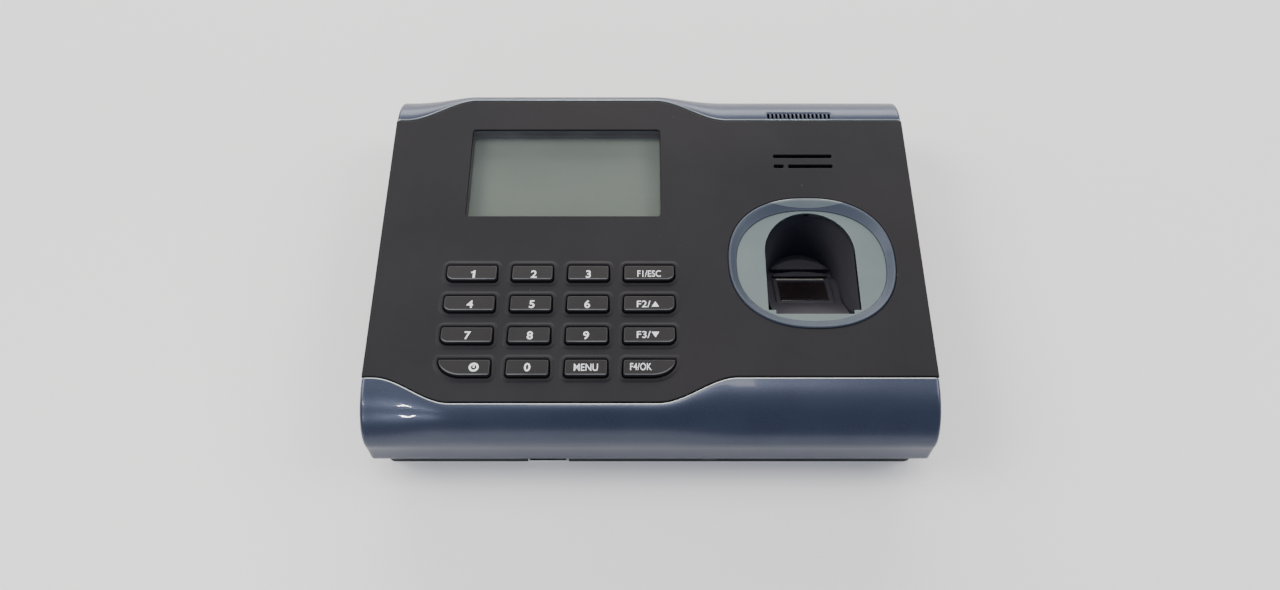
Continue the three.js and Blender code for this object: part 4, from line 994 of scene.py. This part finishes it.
def frontCover():
    bottom = faceTop - coverWall
    middle, size = flatBox("display_window", coverForm["windowFlange"])
    window = roundedBar(*middle, *size, [coverForm["windowCorner"]] * 4)
    ringHole = offsetLoop(ringOuter(), coverForm["ringGap"])
    keyHoles = [offsetLoop(keyOutline(name), keyForm["gap"]) for name in keys]
    slots = speakerSlots()
    profiles = [
        lipProfile(coverForm["windowLip"], faceTop, bottom),
        lipProfile(coverForm["ringLip"], faceTop, bottom),
        *[rimmedLip(faceTop, bottom)] * len(keyHoles),
        *[lipProfile(slotForm["lip"], faceTop, bottom, steps=4)] * len(slots),
    ]
    edge = lipProfile(coverForm["lip"], faceTop, bottom, outer=True)
    shell = plateShell(coverOutline(), [window, ringHole, *keyHoles, *slots], edge, profiles)
    for side in (-1, 1):
        sideWall(shell, side, bottom)
    makePiece("cover_shell", shell, coverPlastic, replaced=["front_cover"])


def sideWall(shell, side, top):
    # a flat wall under the face's edge, between the two trims
    front, back = (seamLine(seams[trim], -halfWidth, -jointHalf) for trim in ("lower", "upper"))
    y = np.linspace(front, back, 9)
    x = side * halfWidth
    inside = x - side * coverWall
    corners = [(x, top), (x, coverFoot), (inside, coverFoot), (inside, top)]
    walls = np.array(corners + corners[:1])
    shell.bar(np.stack(np.broadcast_arrays(walls[:, :1], y[None, :], walls[:, 1:]), axis=2))


frontCover()
print("cover ready")

trimForm = {
    "wall": 1.7, "chamferWide": 0.34, "chamferDeep": 0.22, "profileSteps": 44, "spread": 0.9,
    "skirtSteps": 8, "skirtBend": 1.5, "wallDeep": 1.4, "stations": 261, "endRound": 1.3,
    "endSteps": 7, "endInset": 0.2,
}
# steps are the shares of a vent's length where its section has points
ventForm = {
    "count": 16, "wide": 0.75, "pitch": 1.45, "length": 3.2, "from": 0.3, "margin": 0.3,
    "steps": (0, 0.04, 0.25, 0.5, 0.75),
}


def trimSection(seam, x, inset):
    # at each x, a row of points from the joint line's wall over a chamfer, down a quarter
    # ellipse and a skirt that leans out; inset moves the round part in, for the ends
    y0 = seamLine(seam, x, jointHalf)
    reach = np.abs(seam["edge"] - seam["side"] * seam["lean"] - y0)
    middle = faceTop - seam["drop"]
    first = np.arcsin(trimForm["chamferWide"] / reach)[:, None]
    slotEnd = np.arcsin((ventForm["from"] + ventForm["length"]) / reach)[:, None]
    after = np.linspace(0, 1, trimForm["profileSteps"]) ** trimForm["spread"]
    angle = np.concatenate([
        first + (slotEnd - first) * np.array(ventForm["steps"]),
        slotEnd + (np.pi / 2 - slotEnd) * after,
    ], axis=1)
    out = (reach - inset)[:, None] * np.sin(angle)
    high = middle + (seam["drop"] - inset)[:, None] * np.cos(angle)
    down = np.linspace(0, 1, trimForm["skirtSteps"] + 1)[1:]
    skirtOut = (reach - inset)[:, None] + seam["lean"] * down ** trimForm["skirtBend"]
    skirtHigh = np.broadcast_to(middle - (middle - coverFoot) * down, skirtOut.shape)
    chamferFoot = high[:, :1] - trimForm["chamferDeep"]
    wallOut = np.zeros_like(chamferFoot)
    out = np.concatenate([wallOut, wallOut, out, skirtOut], axis=1)
    high = np.concatenate([chamferFoot - trimForm["wallDeep"], chamferFoot, high, skirtHigh], axis=1)
    y = y0[:, None] + seam["side"] * out
    return np.stack([np.broadcast_to(x[:, None], y.shape), y, high], axis=2)


def ventEdges():
    first = sensorX - (ventForm["count"] - 1) * ventForm["pitch"] / 2
    centres = first + np.arange(ventForm["count"]) * ventForm["pitch"]
    return np.sort(np.concatenate([centres - ventForm["wide"] / 2, centres + ventForm["wide"] / 2]))


def trimPiece(name, seam, vents):
    # rounded ends: stations close up near the ends while the section shrinks by a quarter circle
    turn = np.linspace(0, np.pi / 2, trimForm["endSteps"])
    endRound = trimForm["endRound"]
    body = np.linspace(-halfWidth + endRound, halfWidth - endRound, trimForm["stations"])
    if vents:
        slots = ventEdges()
        clear = np.abs(body - sensorX) > slots[-1] + ventForm["margin"] - sensorX
        body = np.sort(np.concatenate([body[clear], slots]))
    # the outermost station lies on the flat end, and keeps the end's shading flat
    leftX = np.append(-halfWidth + endRound * (1 - np.sin(turn)), -halfWidth)[::-1]
    leftIn = np.append(endRound * (1 - np.cos(turn)), endRound + trimForm["endInset"])[::-1]
    x = np.concatenate([leftX[:-1], body, -leftX[::-1][1:]])
    inset = np.concatenate([leftIn[:-1], np.zeros(len(body)), leftIn[::-1][1:]])
    grid = trimSection(seam, x, inset)
    grid[[0, -1], :2] = grid[[1, -2], :2]
    mark = np.zeros(grid.shape[:2])
    # the chamfer's two columns are marked for the painted highlight along the joint line
    mark[2:-2, 1:3] = 1.0
    skip = None
    if vents:
        inSlot = np.searchsorted(slots, (x[:-1] + x[1:]) / 2) % 2 == 1
        column = np.arange(grid.shape[1] - 1)
        skip = inSlot[:, None] & (column >= 2) & (column < 2 + len(ventForm["steps"]))
    shell = Shell()
    upper = seam["side"] > 0
    index = shell.grid(grid, mark=mark, skip=skip, turned=upper)
    trimEnd(shell, grid[0], index[0], not upper)
    trimEnd(shell, grid[-1], index[-1], upper)
    piece = makePiece(name + "_shell", shell, trimLacquer, replaced=[name],
                      attribute="edgeLine", sharp=42, solid=False)
    wall = piece.modifiers.new("wall", "SOLIDIFY")
    wall.thickness, wall.offset, wall.use_rim = trimForm["wall"] * mm, -1, True


def trimEnd(shell, row, index, turned):
    # the flat end: the section's edge, closed by a corner under the joint line
    corner = np.array([row[-1, 0], row[0, 1], row[-1, 2]])
    shell.points.append(corner[None])
    shell.marks.append(np.zeros(1))
    loop = [*index[1:], shell.count]
    shell.count += 1
    shell.cap(loop[::-1] if turned else loop)


trimPiece("lower_trim", seams["lower"], False)
trimPiece("upper_trim", seams["upper"], True)
print("trims ready")

displayForm = {
    "flange": 1.8, "corner": 1.2, "clear": 0.12, "thick": 1.6, "edge": 0.18,
    "panelCorner": 0.8, "panelEdge": 0.2,
}


def displayPieces():
    form = displayForm
    middle, size = flatBox("display_window", form["flange"] + form["clear"])
    top = nodeBox("display_window")[1][2]
    outline = roundedBar(*middle, *size, [form["corner"]] * 4)
    pane = slabShell(outline, top, top - form["thick"], form["edge"])
    makePiece("window_pane", pane, windowClear, replaced=["display_window"])
    low, high = nodeBox("display_panel")
    outline = roundedBar(*middle, *flatBox("display_panel")[1], [form["panelCorner"]] * 4)
    panel = slabShell(outline, high[2], low[2], form["panelEdge"])
    makePiece("crystal_panel", panel, crystal, replaced=["display_panel"])


displayPieces()
print("display ready")

screwForm = {
    "radius": 2.8, "dome": 0.5, "rise": 0.55, "deep": 1.3,
    "cross": 0.85, "armWide": 0.42, "armSlope": 0.16, "armFrom": 0.9, "armLong": 1.75,
}


def screwHead(number):
    # a domed disc facing down with a cross recess pressed into it: height as a function of
    # radius and angle
    form = screwForm
    node = "case_screw_%d" % number
    (middleX, middleY), foot = flatBox(node)[0], nodeBox(node)[0][2]
    radius = np.concatenate([[0.02], np.linspace(0.1, form["radius"], 26)])[:, None]
    x, y = radius * np.cos(fullTurn(96)), radius * np.sin(fullTurn(96))

    def arm(across, along):
        narrow = smooth(-np.abs(across), -form["armWide"] - form["armSlope"], -form["armWide"])
        return narrow * smooth(-np.abs(along), -form["armLong"], -form["armFrom"])

    dome = form["dome"] * (1 - (radius / form["radius"]) ** 2)
    height = foot + form["rise"] - dome + form["cross"] * np.maximum(arm(x, y), arm(y, x))
    face = np.stack([middleX + x, middleY + y, height], axis=2)
    wall = face[-1:].copy()
    wall[..., 2] = foot + form["deep"]
    shell = Shell()
    shell.stack(np.concatenate([face, wall]), capped=(0, -1))
    makePiece(node + "_head", shell, steel, replaced=[node])


for screwNumber in range(1, 5):
    screwHead(screwNumber)

# start and long run back from the socket's face, top is the depth under its upper side
contactForm = {
    "count": 8, "pitch": 1.02, "halfWide": 0.2, "thick": 0.18, "start": 1.5, "long": 9.5,
    "top": 2.6, "fall": 3.6, "bend": 1.6,
}


def jackContacts():
    # sprung wires inside the network socket, each a flat strip bent along Y
    form = contactForm
    low, high = nodeBox("network_jack")
    t = np.linspace(0, 1, 12)
    y = low[1] + form["start"] + form["long"] * t
    z = high[2] - form["top"] - form["fall"] * t ** form["bend"]
    half, thick = form["halfWide"], form["thick"]
    corners = ((-half, 0), (half, 0), (half, thick), (-half, thick), (-half, 0))
    reach = (form["count"] - 1) / 2 * form["pitch"]
    shell = Shell()
    for x in (low[0] + high[0]) / 2 + np.linspace(-reach, reach, form["count"]):
        rows = [np.stack([np.full(len(t), x + aside), y, z + up], axis=1) for aside, up in corners]
        shell.bar(np.stack(rows))
    makePiece("network_contacts", shell, contactGold)


# radius and distance from the socket's face, from the tip back
pinForm = np.array([[0.01, 1.0], [0.5, 1.08], [0.9, 1.5], [1.0, 2.0], [1.0, 10.0]])


def powerPin():
    # the socket's centre pin: a rod with a rounded tip, as a profile turned about Y
    low, high = nodeBox("power_jack")
    middle = (low + high) / 2
    radius, along = pinForm.T[..., None]
    x, z = middle[0] + radius * np.cos(fullTurn(24)), middle[2] + radius * np.sin(fullTurn(24))
    shell = Shell()
    shell.stack(np.stack([x, np.broadcast_to(low[1] + along, x.shape), z], axis=2), capped=(0, -1))
    makePiece("power_pin", shell, contactGold)


jackContacts()
powerPin()
print("back ready")

# The frame's own pieces keep their shape and get a finish.
carried = [
    (casePlastic, ["rear_housing", "tamper_plunger"]),
    (framePlastic, ["display_frame"]),
    (rubber, ["display_gasket", "speaker_gasket", "keypad_mat"]),
    (boardGreen, ["display_board", "sensor_board", "led_board", "keypad_board", "main_board",
                  "usb_board"]),
    (chipPlastic, ["sensor_module", "processor_chip", "memory_chip", "relay", "power_jack",
                   "tamper_switch"]),
    (steel, ["speaker_driver", "backup_battery", "wall_plate"]),
    (blackSteel, ["wall_plate_screw"]),
    (socketSteel, ["network_jack", "usb_socket"]),
    (conePaper, ["speaker_cone"]),
    (blockGreen, ["terminal_block"]),
    (ribbonPlastic, ["display_cable", "sensor_cable"]),
    (lampRed, ["led_red"]),
    (lampGreen, ["led_green"]),
]
for finish, names in carried:
    for nodeName in names:
        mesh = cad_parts[nodeName].data
        mesh.materials.clear()
        mesh.materials.append(finish)

floorForm = {
    "halfWide": 2200, "front": -1500, "back": 2600, "riseFrom": 1500, "rise": 500, "under": 0.02,
}


def floorSheet():
    # a large flat sheet under the wall plate, with a slow rise at its far end
    x = np.linspace(-floorForm["halfWide"], floorForm["halfWide"], 23)
    y = np.linspace(floorForm["front"], floorForm["back"], 42)
    lift = floorForm["rise"] * smooth(y, floorForm["riseFrom"], floorForm["back"]) ** 2
    height = lift - floorForm["under"]
    shell = Shell()
    shell.grid(np.stack(np.broadcast_arrays(x[None, :], y[:, None], height[:, None]), axis=2))
    mesh = bpy.data.meshes.new("table")
    mesh.from_pydata((shell.points[0] * mm).tolist(), [], shell.faces)
    mesh.polygons.foreach_set("use_smooth", np.ones(len(mesh.polygons), bool))
    mesh.materials.append(paintedTable("tablePaint"))
    newObject("table", mesh)


# place, point it faces, width and height in metres, watts and colour
windowLight, lampLight = (1.0, 0.94, 0.86), (1, 1, 1)
boxLight, sideLight = (1.0, 0.96, 0.9), (1.0, 0.97, 0.93)
lamps = {
    "windowBox": ((0, 2.8, 1.3), (0, 0, 0), (4.0, 1.2), 125, windowLight),
    "backBox": ((0, 0.32, 1.6), (0, 0, 0), (0.45, 0.35), 7, boxLight),
    "leftBox": ((-1.35, 0.25, 1.25), (0, 0, 0), (0.9, 0.9), 22, sideLight),
    "rightBox": ((1.35, 0.25, 1.25), (0, 0, 0), (0.9, 0.9), 16, sideLight),
    "lampHigh": ((-0.165, -0.116, 0.202), (-0.0767, -0.0564, 0.033), (0.0005, 0.022), 0.05, lampLight),
    "lampLow": ((-0.167, -0.189, 0.1545), (-0.0766, -0.0595, 0.0315), (0.0005, 0.022), 0.05, lampLight),
}


def softBox(name, place, target, size, watts, colour):
    lamp = bpy.data.lights.new(name, "AREA")
    lamp.shape, lamp.size, lamp.size_y = "RECTANGLE", size[0], size[1]
    lamp.energy, lamp.color = watts, colour
    holder = newObject(name, lamp)
    holder.location = place
    back = (Vector(place) - Vector(target)).normalized()
    up = back.cross((-1, 0, 0)).normalized()  # square to X, so a tall lamp glints as a dot
    holder.rotation_euler = Matrix((up.cross(back), up, back)).transposed().to_euler()


floorSheet()
for lampName, settings in lamps.items():
    softBox(lampName, *settings)


def roomLight():
    # a soft blue room: palest round the horizon, dimmer overhead
    world = bpy.data.worlds.new("room")
    bpy.context.scene.world = world
    world.use_nodes = True
    room = NodeTree(world.node_tree, "BACKGROUND")
    place = room.add("ShaderNodeTexCoord", {}, {}, "Generated")
    height = room.add("ShaderNodeSeparateXYZ", {}, {"Vector": place}, "Z")
    stops = ((0.0, (0.54, 0.65, 0.88)), (0.45, (0.46, 0.58, 0.86)), (0.9, (0.35, 0.45, 0.72)))
    room.use(Color=room.add("ShaderNodeValToRGB", {"stops": stops}, {"Fac": height}))
    room.shader.inputs["Strength"].default_value = 0.58


roomLight()
# place is over the middle of the face, in millimetres
cameraForm = {"place": (-3.25, -158.85, 279.8), "pitch": 26.6, "lens": 27.0}
cameraData = bpy.data.cameras.new("camera")
cameraData.sensor_width, cameraData.lens = 36, cameraForm["lens"]
cameraData.clip_start, cameraData.clip_end = 0.01, 20
camera = newObject("camera", cameraData)
camera.location = (np.array(cameraForm["place"]) + [0, 0, faceTop]) * mm
camera.rotation_euler = (math.radians(cameraForm["pitch"]), 0, 0)
bpy.context.scene.camera = camera
print("stage ready")
